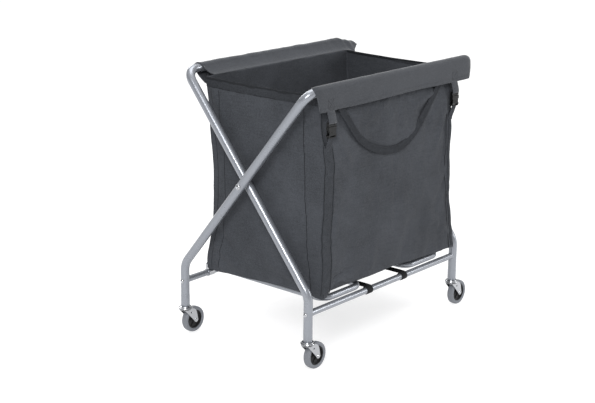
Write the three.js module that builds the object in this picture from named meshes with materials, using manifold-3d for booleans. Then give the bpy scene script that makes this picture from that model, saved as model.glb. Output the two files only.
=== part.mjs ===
// Folding laundry cart: two bent-tube frames crossed as an X, a fabric bag between their
// top rails, hinged bottom loops, and four swivel casters.
// Millimetres, +Z up. +X runs along the cart, -Y is the front long side.
import * as THREE from 'three';
import { mergeVertices } from 'three/addons/utils/BufferGeometryUtils.js';
import Module from 'manifold-3d';

const wasm = await Module();
wasm.setup();

// ---------- driving dimensions ----------
const fitGap = 0.3; // clearance between touching pieces

const cartHeight = 930; // floor to the top of the top rail tubes
const outerHalfLength = 441; // outer frame, tube centre to the middle of the cart
const legHalfWidth = 261; // legs, tube centre to the middle plane
const topHalfWidth = 277; // top rails, tube centre to the middle plane
const tubeDiameter = 30;
const tubeWall = 1.5;
const frameGap = 3; // between the crossed tubes, held by the pivot spacers
const legBendHeight = 255;
const legBendRadius = 70;
const topBendRadius = 45;

const railDiameter = 22;
const railWall = 1.5;
const lowerRailHeight = 195;
const railPlugLength = 24;
const railPlugInset = 2; // plug's outer end, inward of the leg's surface

const pivotBoltDiameter = 8;
const pivotHeadDiameter = 18;
const pivotHeadHeight = 5;
const pivotSpacerDiameter = 18;
const railBoltDiameter = 6;
const railHeadDiameter = 14;
const railHeadHeight = 4;
const nutHeight = 6.5;
const nutFlats = 13;

const wheelRadius = 45;
const tyreWidth = 25;
const hubRadius = 32;
const casterTrail = 36; // swivel axis to axle
const raceCupRadius = 24;
const stemLength = 46;
const kingpinRadius = 5;
const forkWall = 2.5;
const forkSideGap = 2;
const axleDiameter = 8;

const loopDiameter = 22;
const loopWall = 1.5;
const loopInnerX = 128; // loop arm centres, from the middle of the cart
const loopOuterX = 320;
const loopOverhang = 8; // how far the loop arms reach past the back rail
const loopFrontSetback = 8; // loop front tube, inward of the front lower rail
const loopBendRadius = 36;
const clipWall = 2.3;
const clipWidth = 28;

const spreadStrapX = 97;
const webbingThickness = 2;
const spreadStrapWidth = 28;

const fabric = 3; // thickness of the bag's solid
const bagHalfLength = 372;
const bagTopGap = 20; // bag rim below the top rail's centre
const bagFrontBulge = 1; // bag front wall, outward of the top rail's centre
const bagBackSetback = 63; // bag back wall at the bottom, inward of the back top rail
const bagBackWaist = 24; // how far the back wall draws in at mid height
const bagRimSetback = 18; // bag rim at the front, inward of the front top rail
const bagBackRimSetback = 55; // bag rim at the back, inward of the back top rail
const bagFloorClearance = 5; // bag bottom above the bottom loops

const cuffFabric = 2.2;
const cuffEndGap = 1; // cuff's end, short of the rail's bend
const backCuffLeftX = -335;
const backFlapInset = 21; // the back flap's end, inward of the rail's centre
const backFlapDrop = 53; // and below it
const flapDrop = 61; // flap hem below the top rail's centre
const flapFlare = 2.5;

const frontBuckleXs = [-353, 318]; // buckle centres along the cart
const backBuckleXs = [-299, 340];
const buckleWidth = 38;
const buckleThickness = 12;
const femaleHeight = 36;
const maleBarHeight = 14;
const prongLength = 24;
const prongOuterX = 14; // outer faces of the squeezed prongs
const prongInnerX = 8;
const prongThickness = 6;
const pocketClearance = 0.5; // round the prongs inside the female half
const barSlotHeight = 4; // slots that the webbing passes through
const tabWidth = 36;
const tabStitchedHeight = 42;
const tabHang = 36; // free tab between the flap hem and the buckle

const handleWidth = 26;
const handleHalfSpan = 270;
const handleSag = 190;
const handleCentreX = -25;
const handleLift = 14; // handle's end centres below the flap hem
const frontHandleGap = 5; // handle's middle plane, outward of the bag's wall
const backHandleGap = 12; // and inward of the back flap's end

// ---------- worked-out places ----------
const tubeRadius = tubeDiameter / 2;
const railRadius = railDiameter / 2;
const loopRadius = loopDiameter / 2;
const innerHalfLength = outerHalfLength - tubeDiameter - frameGap;
const topRailHeight = cartHeight - tubeRadius;
const diagonalRise = (topRailHeight - legBendHeight) / (legHalfWidth + topHalfWidth);
const pivotHeight = legBendHeight + diagonalRise * legHalfWidth;

const forkTopHeight = 2 * wheelRadius + 4; // top face of the fork's plate
const footHeight = forkTopHeight + 9; // lower end of the leg tubes
const loopHeight = lowerRailHeight + railRadius + fitGap + clipWall + fitGap + loopRadius;
const bagBottom = loopHeight + loopRadius + bagFloorClearance;
const bagTop = topRailHeight - bagTopGap;
const sleeveRadius = tubeRadius + 1.5 * fitGap;
const flapHem = topRailHeight - flapDrop;
const frontCuffHalfLength = outerHalfLength - topBendRadius - cuffEndGap;
const backCuffRightX = innerHalfLength - topBendRadius - cuffEndGap;

const frontTabOffset = sleeveRadius + flapFlare + cuffFabric + webbingThickness / 2;
const frontReach = topHalfWidth + frontTabOffset + buckleThickness / 2;
const backReach = topHalfWidth + sleeveRadius + cuffFabric;
const originShiftX = -(casterTrail + wheelRadius - raceCupRadius) / 2;
const originShiftY = (frontReach - backReach) / 2;

// ---------- materials ----------
const finish = (color, roughness, metalness) =>
  new THREE.MeshStandardMaterial({ color, roughness, metalness });
const finishes = {
  framePaint: finish(0xa9abb2, 0.38, 0.55),
  zinc: finish(0xc4c7cc, 0.25, 0.95),
  tyre: finish(0x6f7176, 0.75, 0),
  hub: finish(0x26282f, 0.5, 0),
  fabric: finish(0x4b4f54, 0.9, 0),
  webbing: finish(0x3f4347, 0.85, 0),
  blackPlastic: finish(0x1b1c1f, 0.45, 0),
  nylon: finish(0xdad9d2, 0.5, 0),
};

// ---------- geometry helpers ----------
const v3 = (x, y, z) => new THREE.Vector3(x, y, z);

// One closed body: shared vertices merged, slivers dropped, faces pointing out.
function closed(geometry) {
  const bare = geometry.clone();
  bare.deleteAttribute('normal');
  bare.deleteAttribute('uv');
  const merged = mergeVertices(bare, 1e-3);
  const index = merged.index.array;
  const triangles = [];
  for (let i = 0; i < index.length; i += 3) {
    const [a, b, c] = [index[i], index[i + 1], index[i + 2]];
    if (a !== b && b !== c && a !== c) triangles.push([a, b, c]);
  }
  const corner = (i) => v3().fromBufferAttribute(merged.attributes.position, i);
  const volume = triangles.reduce(
    (sum, [a, b, c]) => sum + corner(a).dot(corner(b).cross(corner(c))), 0);
  const outward = volume < 0 ? triangles.map(([a, b, c]) => [a, c, b]) : triangles;
  merged.setIndex(outward.flat());
  return merged;
}

function toManifold(geometry) {
  const shape = closed(geometry);
  return new wasm.Manifold(new wasm.Mesh({
    numProp: 3,
    vertProperties: new Float32Array(shape.attributes.position.array),
    triVerts: new Uint32Array(shape.index.array),
  }));
}

function fromManifold(manifold) {
  const mesh = manifold.getMesh();
  const geometry = new THREE.BufferGeometry();
  geometry.setAttribute('position', new THREE.BufferAttribute(mesh.vertProperties, 3));
  geometry.setIndex(new THREE.BufferAttribute(mesh.triVerts, 1));
  return geometry;
}

const join = (first, ...rest) =>
  fromManifold(rest.reduce((whole, piece) => whole.add(toManifold(piece)), toManifold(first)));
const cut = (first, ...rest) =>
  fromManifold(rest.reduce((whole, piece) => whole.subtract(toManifold(piece)), toManifold(first)));

// Basis matrices that lay an extruded shape in another plane.
const alongX = new THREE.Matrix4().makeBasis(v3(0, 1, 0), v3(0, 0, 1), v3(1, 0, 0));
const alongMinusY = new THREE.Matrix4().makeBasis(v3(1, 0, 0), v3(0, 0, 1), v3(0, -1, 0));

// A shape drawn in (y, z), extruded from x = start to x = end.
function extrudeX(shape, start, end, curveSegments = 8) {
  const options = { depth: end - start, bevelEnabled: false, curveSegments };
  return new THREE.ExtrudeGeometry(shape, options).applyMatrix4(alongX).translate(start, 0, 0);
}

// A shape drawn in (x, z), extruded from y = start down to y = end.
function extrudeMinusY(shape, start, end, curveSegments = 8) {
  const options = { depth: start - end, bevelEnabled: false, curveSegments };
  return new THREE.ExtrudeGeometry(shape, options).applyMatrix4(alongMinusY)
    .translate(0, start, 0);
}

const polygon = (points) => new THREE.Shape(points.map(([u, v]) => new THREE.Vector2(u, v)));

function disc(radius, boreRadius = 0) {
  const shape = new THREE.Shape();
  shape.absarc(0, 0, radius, 0, 2 * Math.PI, false);
  if (boreRadius > 0) {
    const bore = new THREE.Path();
    bore.absarc(0, 0, boreRadius, 0, 2 * Math.PI, true);
    shape.holes.push(bore);
  }
  return shape;
}

function rectangle(width, height, centreU = 0, centreV = 0) {
  const [u, v] = [width / 2, height / 2];
  const corners = [[-u, -v], [u, -v], [u, v], [-u, v]];
  return polygon(corners.map(([a, b]) => [a + centreU, b + centreV]));
}

const box = (sizeX, sizeY, sizeZ, x, y, z) =>
  new THREE.BoxGeometry(sizeX, sizeY, sizeZ).translate(x, y, z);
const rodX = (radius, start, end, y, z, sides = 20) =>
  new THREE.CylinderGeometry(radius, radius, end - start, sides).rotateZ(-Math.PI / 2)
    .translate((start + end) / 2, y, z);
const rodY = (radius, length, x, y, z, sides = 20) =>
  new THREE.CylinderGeometry(radius, radius, length, sides).translate(x, y, z);
const rodZ = (radius, bottom, top, x, y, sides = 20) =>
  new THREE.CylinderGeometry(radius, radius, top - bottom, sides).rotateX(Math.PI / 2)
    .translate(x, y, (bottom + top) / 2);

// A profile of [radius, height] points turned about the Z, X or Y axis.
const turned = (profile, sides) =>
  new THREE.LatheGeometry(profile.map(([r, h]) => new THREE.Vector2(r, h)), sides);
const turnedZ = (profile, sides) => turned(profile, sides).rotateX(Math.PI / 2);
const turnedX = (profile, sides) => turned(profile, sides).rotateZ(-Math.PI / 2);

// The centre line of a bent tube: straight runs between corners, an arc at each corner.
// It keeps sample stations only where the tube bends.
class BentPath extends THREE.Curve {
  constructor(corners, radii, arcSteps) {
    super();
    this.stations = [{ point: corners[0], tangent: corners[1].clone().sub(corners[0]).normalize() }];
    for (let i = 1; i < corners.length - 1; i += 1) {
      this.addBend(corners[i - 1], corners[i], corners[i + 1], radii[i - 1], arcSteps);
    }
    const last = corners.at(-1);
    this.stations.push({ point: last, tangent: last.clone().sub(corners.at(-2)).normalize() });
  }

  addBend(before, corner, after, radius, arcSteps) {
    const into = corner.clone().sub(before).normalize();
    const out = after.clone().sub(corner).normalize();
    const angle = into.angleTo(out);
    const trim = radius * Math.tan(angle / 2);
    const start = corner.clone().addScaledVector(into, -trim);
    const inward = out.clone().addScaledVector(into, -out.dot(into)).normalize();
    for (let k = 0; k <= arcSteps; k += 1) {
      const a = (angle * k) / arcSteps;
      const point = start.clone().addScaledVector(into, radius * Math.sin(a))
        .addScaledVector(inward, radius * (1 - Math.cos(a)));
      const tangent = into.clone().multiplyScalar(Math.cos(a)).addScaledVector(inward, Math.sin(a));
      this.stations.push({ point, tangent });
    }
  }

  get steps() { return this.stations.length - 1; }

  at(t) { return this.stations[Math.round(t * this.steps)]; }

  getPoint(t, target = v3()) { return target.copy(this.at(t).point); }

  getPointAt(t, target = v3()) { return this.getPoint(t, target); }

  getTangentAt(t, target = v3()) { return target.copy(this.at(t).tangent); }
}

function bentTube(path, shape, curveSegments) {
  return new THREE.ExtrudeGeometry(shape, { steps: path.steps, extrudePath: path, curveSegments });
}

// ---------- assembly ----------
const cart = new THREE.Group();
cart.position.set(originShiftX, originShiftY, 0);
const assembly = new THREE.Group();
assembly.add(cart);

function add(name, geometry, material, parent = cart) {
  const mesh = new THREE.Mesh(closed(geometry), material);
  mesh.name = name;
  parent.add(mesh);
  return mesh;
}

// The four corners. The outer frame stands on the back legs, the inner on the front legs.
const ends = [{ name: 'left', sign: -1 }, { name: 'right', sign: 1 }];
const frames = [
  { name: 'outer', rail: 'back', halfLength: outerHalfLength, legSign: 1 },
  { name: 'inner', rail: 'front', halfLength: innerHalfLength, legSign: -1 },
];

const boltHole = (diameter, x, y, z) =>
  rodX(diameter / 2 + fitGap, x - tubeDiameter, x + tubeDiameter, y, z, 12);

// Each frame is one tube: leg, diagonal, top rail, diagonal, leg, with bolt holes.
function frameTube({ halfLength, legSign }) {
  const legY = legSign * legHalfWidth;
  const side = (x) => [
    v3(x, legY, footHeight),
    v3(x, legY, legBendHeight),
    v3(x, -legSign * topHalfWidth, topRailHeight),
  ];
  const corners = [...side(-halfLength), ...side(halfLength).reverse()];
  const radii = [legBendRadius, topBendRadius, topBendRadius, legBendRadius];
  const section = disc(tubeRadius, tubeRadius - tubeWall);
  const tube = bentTube(new BentPath(corners, radii, 4), section, 7);
  const holes = [-halfLength, halfLength].flatMap((x) => [
    boltHole(pivotBoltDiameter, x, 0, pivotHeight),
    boltHole(railBoltDiameter, x, legY, lowerRailHeight),
  ]);
  return cut(tube, ...holes);
}

// A lower rail butts between its frame's legs, with its ends cut to the legs' round.
function lowerRail({ halfLength, legSign }) {
  const legY = legSign * legHalfWidth;
  const section = disc(railRadius, railRadius - railWall);
  const blank = extrudeX(section, -halfLength, halfLength, 8).translate(0, legY, lowerRailHeight);
  const legs = [-halfLength, halfLength].map((x) =>
    rodZ(tubeRadius + fitGap, footHeight, legBendHeight, x, legY, 24));
  return cut(blank, ...legs);
}

// A threaded plug pressed in a lower rail's end takes the rail bolt.
function railPlug() {
  const outer = railRadius - railWall - fitGap;
  return extrudeX(disc(outer, railBoltDiameter / 2 + fitGap), 0, railPlugLength, 6);
}

// A button-head bolt along +X: the head's seat is at x = 0, the shank runs inward.
function buttonBolt(headDiameter, headHeight, shankDiameter, shankLength) {
  const head = headDiameter / 2;
  return turnedX([
    [0, -headHeight], [head * 0.55, -headHeight * 0.92], [head * 0.88, -headHeight * 0.55],
    [head, -fitGap], [shankDiameter / 2, -fitGap], [shankDiameter / 2, shankLength],
    [0, shankLength],
  ], 12);
}

function hexNut(boreRadius) {
  const corner = nutFlats / Math.sqrt(3);
  const outline = polygon(Array.from({ length: 6 }, (_, k) => {
    const a = (k * Math.PI) / 3;
    return [corner * Math.cos(a), corner * Math.sin(a)];
  }));
  const bore = new THREE.Path();
  bore.absarc(0, 0, boreRadius, 0, 2 * Math.PI, true);
  outline.holes.push(bore);
  return extrudeX(outline, 0, nutHeight, 8);
}

for (const frame of frames) {
  add(`${frame.name}_frame_tube`, frameTube(frame), finishes.framePaint);
  add(`${frame.rail}_lower_rail`, lowerRail(frame), finishes.framePaint);
  for (const end of ends) {
    const legX = end.sign * frame.halfLength;
    const legY = frame.legSign * legHalfWidth;
    const turn = end.sign > 0 ? Math.PI : 0; // bolts point inward from each end
    const railStart = legX - end.sign * (tubeRadius + railPlugInset);
    const boltLength = tubeDiameter + railPlugLength;
    const plug = add(`${frame.rail}_rail_plug_${end.name}`, railPlug(), finishes.zinc);
    plug.position.set(railStart, legY, lowerRailHeight);
    plug.rotation.z = turn;
    const bolt = add(`${frame.rail}_rail_bolt_${end.name}`,
      buttonBolt(railHeadDiameter, railHeadHeight, railBoltDiameter, boltLength), finishes.zinc);
    bolt.position.set(legX + end.sign * tubeRadius, legY, lowerRailHeight);
    bolt.rotation.z = turn;
  }
}

for (const end of ends) {
  const turn = end.sign > 0 ? Math.PI : 0;
  const outerFace = end.sign * (outerHalfLength + tubeRadius);
  const innerFace = end.sign * (innerHalfLength - tubeRadius);
  const shank = Math.abs(outerFace - innerFace) + nutHeight + 2;
  const bolt = add(`pivot_bolt_${end.name}`,
    buttonBolt(pivotHeadDiameter, pivotHeadHeight, pivotBoltDiameter, shank), finishes.zinc);
  bolt.position.set(outerFace, 0, pivotHeight);
  bolt.rotation.z = turn;

  const spacer = disc(pivotSpacerDiameter / 2, pivotBoltDiameter / 2 + fitGap);
  const spacerX = end.sign * (innerHalfLength + tubeRadius + frameGap / 2);
  const spacerHalf = frameGap / 2 - fitGap;
  add(`pivot_spacer_${end.name}`, extrudeX(spacer, -spacerHalf, spacerHalf, 6), finishes.nylon)
    .position.set(spacerX, 0, pivotHeight);

  const nut = add(`pivot_nut_${end.name}`, hexNut(pivotBoltDiameter / 2 + fitGap), finishes.zinc);
  nut.position.set(innerFace - end.sign * fitGap, 0, pivotHeight);
  nut.rotation.z = turn;
}

// ---------- casters, drawn with the swivel axis on x = y = 0 ----------
const plateRadius = raceCupRadius - 2;
const cheekInside = tyreWidth / 2 + forkSideGap;

// The stem is a plug in the leg tube, a shoulder under the foot, the upper race cup and the kingpin.
function casterStem() {
  const plug = tubeRadius - tubeWall - 2 * fitGap;
  const shoulder = footHeight - fitGap;
  const plateBottom = forkTopHeight - forkWall;
  return turnedZ([
    [0, plateBottom - 3], [kingpinRadius + 2.5, plateBottom - 3],
    [kingpinRadius + 2.5, plateBottom - fitGap], [kingpinRadius, plateBottom - fitGap],
    [kingpinRadius, forkTopHeight + 2], [raceCupRadius - 3, forkTopHeight + 2],
    [raceCupRadius, forkTopHeight + 0.5], [raceCupRadius - 2, forkTopHeight + 5],
    [tubeRadius, shoulder], [plug, shoulder],
    [plug, footHeight + stemLength], [0, footHeight + stemLength],
  ], 16);
}

// The fork is a round plate with two tapered cheeks down to the axle.
function casterFork() {
  const plate = rodZ(plateRadius, forkTopHeight - forkWall, forkTopHeight, 0, 0, 16);
  const eye = 9;
  const cheek = new THREE.Shape();
  cheek.moveTo(-plateRadius * 0.62, forkTopHeight - forkWall / 2);
  cheek.lineTo(-plateRadius * 0.5, forkTopHeight - 10);
  cheek.lineTo(casterTrail - eye * 0.8, wheelRadius - eye * 0.62);
  cheek.absarc(casterTrail, wheelRadius, eye, -2.4, 0.75, false);
  cheek.lineTo(plateRadius * 0.86, forkTopHeight - 6);
  cheek.lineTo(plateRadius * 0.62, forkTopHeight - forkWall / 2);
  cheek.holes.push(new THREE.Path(rectangle(5, 5, 9, forkTopHeight - 17).getPoints().reverse()));
  const cheeks = [-1, 1].map((side) => {
    const near = side * cheekInside;
    const far = side * (cheekInside + forkWall);
    return extrudeMinusY(cheek, Math.max(near, far), Math.min(near, far), 5);
  });
  const bore = rodY(axleDiameter / 2 + fitGap, 80, casterTrail, 0, wheelRadius, 12);
  const kingpinHole = rodZ(kingpinRadius + 2 * fitGap, 0, 2 * forkTopHeight, 0, 0, 12);
  return cut(join(plate, ...cheeks), bore, kingpinHole);
}

function casterAxle() {
  const faceY = cheekInside + forkWall + fitGap;
  const [shank, head] = [axleDiameter / 2, axleDiameter / 2 + 2];
  return turned([
    [0, -faceY - 2.5], [head * 0.7, -faceY - 2.5], [head, -faceY - 1], [head, -faceY],
    [shank, -faceY], [shank, faceY], [head, faceY], [head, faceY + 1],
    [head * 0.7, faceY + 2.5], [0, faceY + 2.5],
  ], 10);
}

// The hub is a spoked-look dish: a bearing boss, a thin web and a rim that seats the tyre.
function wheelHub() {
  const bore = axleDiameter / 2 + fitGap;
  const rimHalf = tyreWidth / 2 - 3;
  const bossHalf = tyreWidth / 2 + forkSideGap - 2 * fitGap;
  return turned([
    [bore, -bossHalf], [10, -bossHalf], [12, -5], [hubRadius - 5, -5], [hubRadius - 3, -rimHalf],
    [hubRadius, -rimHalf], [hubRadius, rimHalf], [hubRadius - 3, rimHalf], [hubRadius - 5, 5],
    [12, 5], [10, bossHalf], [bore, bossHalf], [bore, -bossHalf],
  ], 16);
}

// The tyre has flat tread facets, one of them exactly underneath.
function tyre() {
  const facets = 28;
  const halfFacet = Math.PI / facets;
  const rim = wheelRadius / Math.cos(halfFacet); // corner radius that puts the facets at wheelRadius
  const half = tyreWidth / 2;
  const seat = hubRadius + 2 * fitGap;
  return turned([
    [seat, -half + 2], [rim - 5, -half], [rim, -half + 4], [rim, half - 4], [rim - 5, half],
    [seat, half - 2], [seat, -half + 2],
  ], facets).rotateY(halfFacet);
}

for (const frame of frames) {
  for (const end of ends) {
    const corner = `${frame.rail}_${end.name}`;
    const caster = new THREE.Group();
    caster.position.set(end.sign * frame.halfLength, frame.legSign * legHalfWidth, 0);
    cart.add(caster);
    add(`caster_stem_${corner}`, casterStem(), finishes.zinc, caster);
    add(`caster_fork_${corner}`, casterFork(), finishes.zinc, caster);
    const wheel = new THREE.Group();
    wheel.position.set(casterTrail, 0, wheelRadius);
    caster.add(wheel);
    add(`caster_axle_${corner}`, casterAxle(), finishes.zinc, wheel);
    add(`wheel_hub_${corner}`, wheelHub(), finishes.hub, wheel);
    add(`tyre_${corner}`, tyre(), finishes.tyre, wheel);
  }
}

// ---------- bottom support ----------
// Each loop is a U of tube: two arms over the back lower rail, joined at the front.
const loopBackY = legHalfWidth + loopOverhang;
const loopFrontY = -(legHalfWidth - loopFrontSetback);
const loopSection = disc(loopRadius, loopRadius - loopWall);
const ringSegments = 8; // enough sides for a ring's flats to clear the round rail
for (const end of ends) {
  const [nearX, farX] = [end.sign * loopInnerX, end.sign * loopOuterX];
  const corners = [[nearX, loopBackY], [nearX, loopFrontY], [farX, loopFrontY], [farX, loopBackY]]
    .map(([x, y]) => v3(x, y, loopHeight));
  const path = new BentPath(corners, [loopBendRadius, loopBendRadius], 5);
  add(`bottom_loop_${end.name}`, bentTube(path, loopSection, 6), finishes.framePaint);

  for (const [place, x] of [['inner', nearX], ['outer', farX]]) {
    const ringInside = railRadius + fitGap;
    const ringShape = disc(ringInside + clipWall, ringInside);
    const ring = extrudeX(ringShape, -clipWidth / 2, clipWidth / 2, ringSegments);
    const earBottom = ringInside + clipWall * 0.5;
    const earTop = loopHeight - lowerRailHeight + loopRadius * 0.5;
    const ears = [-1, 1].map((side) => box(
      clipWidth / 2 - loopRadius - fitGap, 14, earTop - earBottom,
      side * (clipWidth / 2 + loopRadius + fitGap) / 2, 0, (earTop + earBottom) / 2));
    add(`loop_clip_${end.name}_${place}`, join(ring, ...ears), finishes.zinc)
      .position.set(x, legHalfWidth, lowerRailHeight);
  }

  // A webbing strap looped round both lower rails stops the legs from spreading.
  const loopInside = railRadius + fitGap;
  const loopOutside = loopInside + webbingThickness;
  const ringSection = disc(loopOutside, loopInside);
  const halfStrap = spreadStrapWidth / 2;
  const rings = [-1, 1].map((side) =>
    extrudeX(ringSection, -halfStrap, halfStrap, ringSegments)
      .translate(0, side * legHalfWidth, 0));
  const band = box(spreadStrapWidth, 2 * legHalfWidth, webbingThickness,
    0, 0, loopInside + webbingThickness / 2);
  add(`spread_strap_${end.name}`, join(band, ...rings), finishes.webbing)
    .position.set(end.sign * spreadStrapX, 0, lowerRailHeight);
}

// ---------- bag ----------
// The bag is an open box of fabric: section in (y, z), front wall first.
function bagSection(inset) {
  const [frontY, backY] = [-(topHalfWidth + bagFrontBulge), topHalfWidth - bagBackSetback];
  const rise = (share) => bagBottom + (bagTop - bagBottom) * share;
  const topExtra = inset > 0 ? 10 : 0; // the hollow runs out past the rim
  return polygon([
    [frontY + inset, bagBottom + inset],
    [backY - inset, bagBottom + inset],
    [backY - bagBackWaist - inset, rise(0.25)],
    [backY - bagBackWaist - inset, rise(0.6)],
    [topHalfWidth - bagBackRimSetback - inset, bagTop + topExtra],
    [-topHalfWidth + bagRimSetback + inset, bagTop + topExtra],
    [frontY + inset, rise(0.93)],
  ]);
}
const bagOuter = extrudeX(bagSection(0), -bagHalfLength, bagHalfLength);
const bagHollow = extrudeX(bagSection(fabric), -bagHalfLength + fabric, bagHalfLength - fabric);
add('bag', cut(bagOuter, bagHollow), finishes.fabric);

// A cuff is a strip of fabric laid over its top rail, drawn about the rail's centre with
// inward positive: from the bag's rim, over the tube, and down outside as a flap.
function cuffSection(rim, flapEnd, inward) {
  const [inside, outside] = [sleeveRadius, sleeveRadius + cuffFabric];
  const reach = ([y, z]) => Math.acos(inside / Math.hypot(y, z));
  const from = Math.atan2(rim[1], rim[0]) + reach(rim);
  const to = Math.atan2(flapEnd[1], flapEnd[0]) + 2 * Math.PI - reach(flapEnd);
  const arcSteps = 8;
  const arc = (radius) => Array.from({ length: arcSteps + 1 }, (_, k) => {
    const a = from + ((to - from) * k) / arcSteps;
    return [radius * Math.cos(a), radius * Math.sin(a)];
  });
  const outer = ([y, z], a) => [y + cuffFabric * Math.cos(a), z + cuffFabric * Math.sin(a)];
  const points = [
    outer(rim, from), ...arc(outside), outer(flapEnd, to),
    flapEnd, ...arc(inside).reverse(), rim,
  ];
  return polygon(points.map(([y, z]) => [y * inward, z]));
}

// A webbing tab stitched on the flap's outer face and hanging down to the buckle.
function tab(x, faceY, hemZ) {
  const height = tabStitchedHeight + tabHang - fitGap;
  const thickness = 2 * webbingThickness;
  return box(tabWidth, thickness, height, x, faceY, hemZ - tabHang + fitGap + height / 2);
}

const rimZ = bagTop - topRailHeight + 1;
const frontFlapEnd = [-sleeveRadius - flapFlare, -flapDrop];
const frontSection = cuffSection([bagRimSetback + 1, rimZ], frontFlapEnd, 1);
const frontCuff = join(extrudeX(frontSection, -frontCuffHalfLength, frontCuffHalfLength),
  ...frontBuckleXs.map((x) => tab(x, -frontTabOffset, -flapDrop)));
add('front_cuff', frontCuff, finishes.fabric).position.set(0, -topHalfWidth, topRailHeight);

// At the back the buckles pull the flap in under the rail, towards the drawn-in wall.
const backFlapEnd = [backFlapInset, -backFlapDrop];
const backSection = cuffSection([bagBackRimSetback - 1, rimZ], backFlapEnd, -1);
const backCuff = join(extrudeX(backSection, backCuffLeftX, backCuffRightX),
  ...backBuckleXs.map((x) => tab(x, -backFlapInset, -backFlapDrop)));
add('back_cuff', backCuff, finishes.fabric).position.set(0, topHalfWidth, topRailHeight);

// ---------- side-release buckles ----------
// Drawn in (x, z) with the male bar's top edge at z = 0. The prongs are at their squeezed width.
const slotWidth = buckleWidth - 12;
const webbingSlot = (z) => box(slotWidth, 2 * buckleThickness, barSlotHeight, 0, 0, z);

function maleBuckle() {
  const barThickness = buckleThickness - 2;
  const bar = box(buckleWidth, barThickness, maleBarHeight, 0, 0, -maleBarHeight / 2);
  const root = -maleBarHeight + 1;
  const tip = -maleBarHeight - prongLength;
  const [inner, outer, step] = [prongInnerX, prongOuterX, 1.5];
  const prong = (side) => polygon([
    [inner - step, root], [outer, root], [outer, tip + 8], [(inner + outer) / 2, tip], [inner, tip],
    [inner, root - 8], [inner - step, root - 8],
  ].map(([x, z]) => [side * x, z]));
  const tongue = rectangle(6, prongLength - 2, 0, root - prongLength / 2 + 1);
  const half = prongThickness / 2;
  const pieces = [prong(-1), prong(1), tongue].map((shape) => extrudeMinusY(shape, half, -half));
  return cut(join(bar, ...pieces), webbingSlot(-6));
}

function femaleBuckle() {
  const top = -maleBarHeight - fitGap;
  const [w, bottom, corner] = [buckleWidth / 2, top - femaleHeight, 6];
  const outline = polygon([
    [-w, top], [-w, bottom + corner], [-w + corner, bottom], [w - corner, bottom],
    [w, bottom + corner], [w, top],
  ]);
  const pocketDepth = prongLength + 2 * pocketClearance;
  const pocketHeight = prongThickness + 2 * pocketClearance;
  const pocketWidth = 2 * (prongOuterX + pocketClearance);
  const pocket = box(pocketWidth, pocketHeight, 2 * pocketDepth, 0, 0, top);
  const sill = 12; // solid band above the side windows
  const window = box(2 * buckleWidth, pocketHeight, pocketDepth - sill,
    0, 0, top - (sill + pocketDepth) / 2);
  const body = extrudeMinusY(outline, buckleThickness / 2, -buckleThickness / 2);
  return cut(body, pocket, window, webbingSlot(bottom + 5));
}

const buckleRows = [
  { side: 'front', xs: frontBuckleXs, y: -topHalfWidth - frontTabOffset, hem: flapHem },
  {
    side: 'back',
    xs: backBuckleXs,
    y: topHalfWidth - backFlapInset,
    hem: topRailHeight - backFlapDrop,
  },
];
for (const { side, xs, y, hem } of buckleRows) {
  ends.forEach((end, k) => {
    const corner = `${side}_${end.name}`;
    for (const [half, shape] of [['male', maleBuckle], ['female', femaleBuckle]]) {
      add(`buckle_${half}_${corner}`, shape(), finishes.blackPlastic)
        .position.set(xs[k], y, hem - tabHang);
    }
  });
}

// ---------- carrying handles ----------
// A handle is a webbing band hanging in a loop from under the flap.
function handle() {
  const steps = 14;
  const line = (k, offset) => {
    const u = (2 * k) / steps - 1;
    const [x, z] = [handleHalfSpan * u, handleSag * (u * u - 1)];
    const slope = (2 * handleSag * u) / handleHalfSpan;
    const length = Math.hypot(1, slope);
    return [x - (offset * slope) / length, z + offset / length];
  };
  const edge = (offset) => Array.from({ length: steps + 1 }, (_, k) => line(k, offset));
  const outline = [...edge(-handleWidth / 2), ...edge(handleWidth / 2).reverse()];
  return extrudeMinusY(polygon(outline), webbingThickness / 2, -webbingThickness / 2);
}
const handleTop = flapHem - fitGap - handleLift;
add('front_handle', handle(), finishes.webbing)
  .position.set(handleCentreX, -topHalfWidth - bagFrontBulge - frontHandleGap, handleTop);
add('back_handle', handle(), finishes.webbing)
  .position.set(handleCentreX, topHalfWidth - backFlapInset - backHandleGap, handleTop);

export default assembly;
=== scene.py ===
"""Folding laundry cart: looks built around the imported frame. Metres, +Z up, -Y is the front."""
import bpy
import bmesh
import math
import numpy as np
from mathutils import Matrix, Vector, geometry, noise


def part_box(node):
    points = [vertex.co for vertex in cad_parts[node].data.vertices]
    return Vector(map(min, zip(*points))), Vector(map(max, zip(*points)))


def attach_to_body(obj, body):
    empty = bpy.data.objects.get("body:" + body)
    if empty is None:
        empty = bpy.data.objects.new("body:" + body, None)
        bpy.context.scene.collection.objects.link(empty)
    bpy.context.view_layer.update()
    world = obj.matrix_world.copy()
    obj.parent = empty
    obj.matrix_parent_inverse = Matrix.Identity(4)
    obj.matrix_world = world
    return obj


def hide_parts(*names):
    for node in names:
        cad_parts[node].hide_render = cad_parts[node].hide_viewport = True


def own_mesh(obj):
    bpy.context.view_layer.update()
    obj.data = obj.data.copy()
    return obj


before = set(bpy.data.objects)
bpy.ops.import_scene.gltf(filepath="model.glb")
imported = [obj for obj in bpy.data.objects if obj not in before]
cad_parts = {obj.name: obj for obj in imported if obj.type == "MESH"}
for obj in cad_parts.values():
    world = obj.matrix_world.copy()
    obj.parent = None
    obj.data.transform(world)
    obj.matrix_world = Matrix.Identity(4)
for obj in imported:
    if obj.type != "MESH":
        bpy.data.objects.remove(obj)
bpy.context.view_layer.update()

MM = 0.001
TAU = 2 * math.pi
X, Y, Z = (1, 0, 0), (0, 1, 0), (0, 0, 1)
BUCKLE_PLACES = ("front_left", "front_right", "back_left", "back_right")

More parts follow.
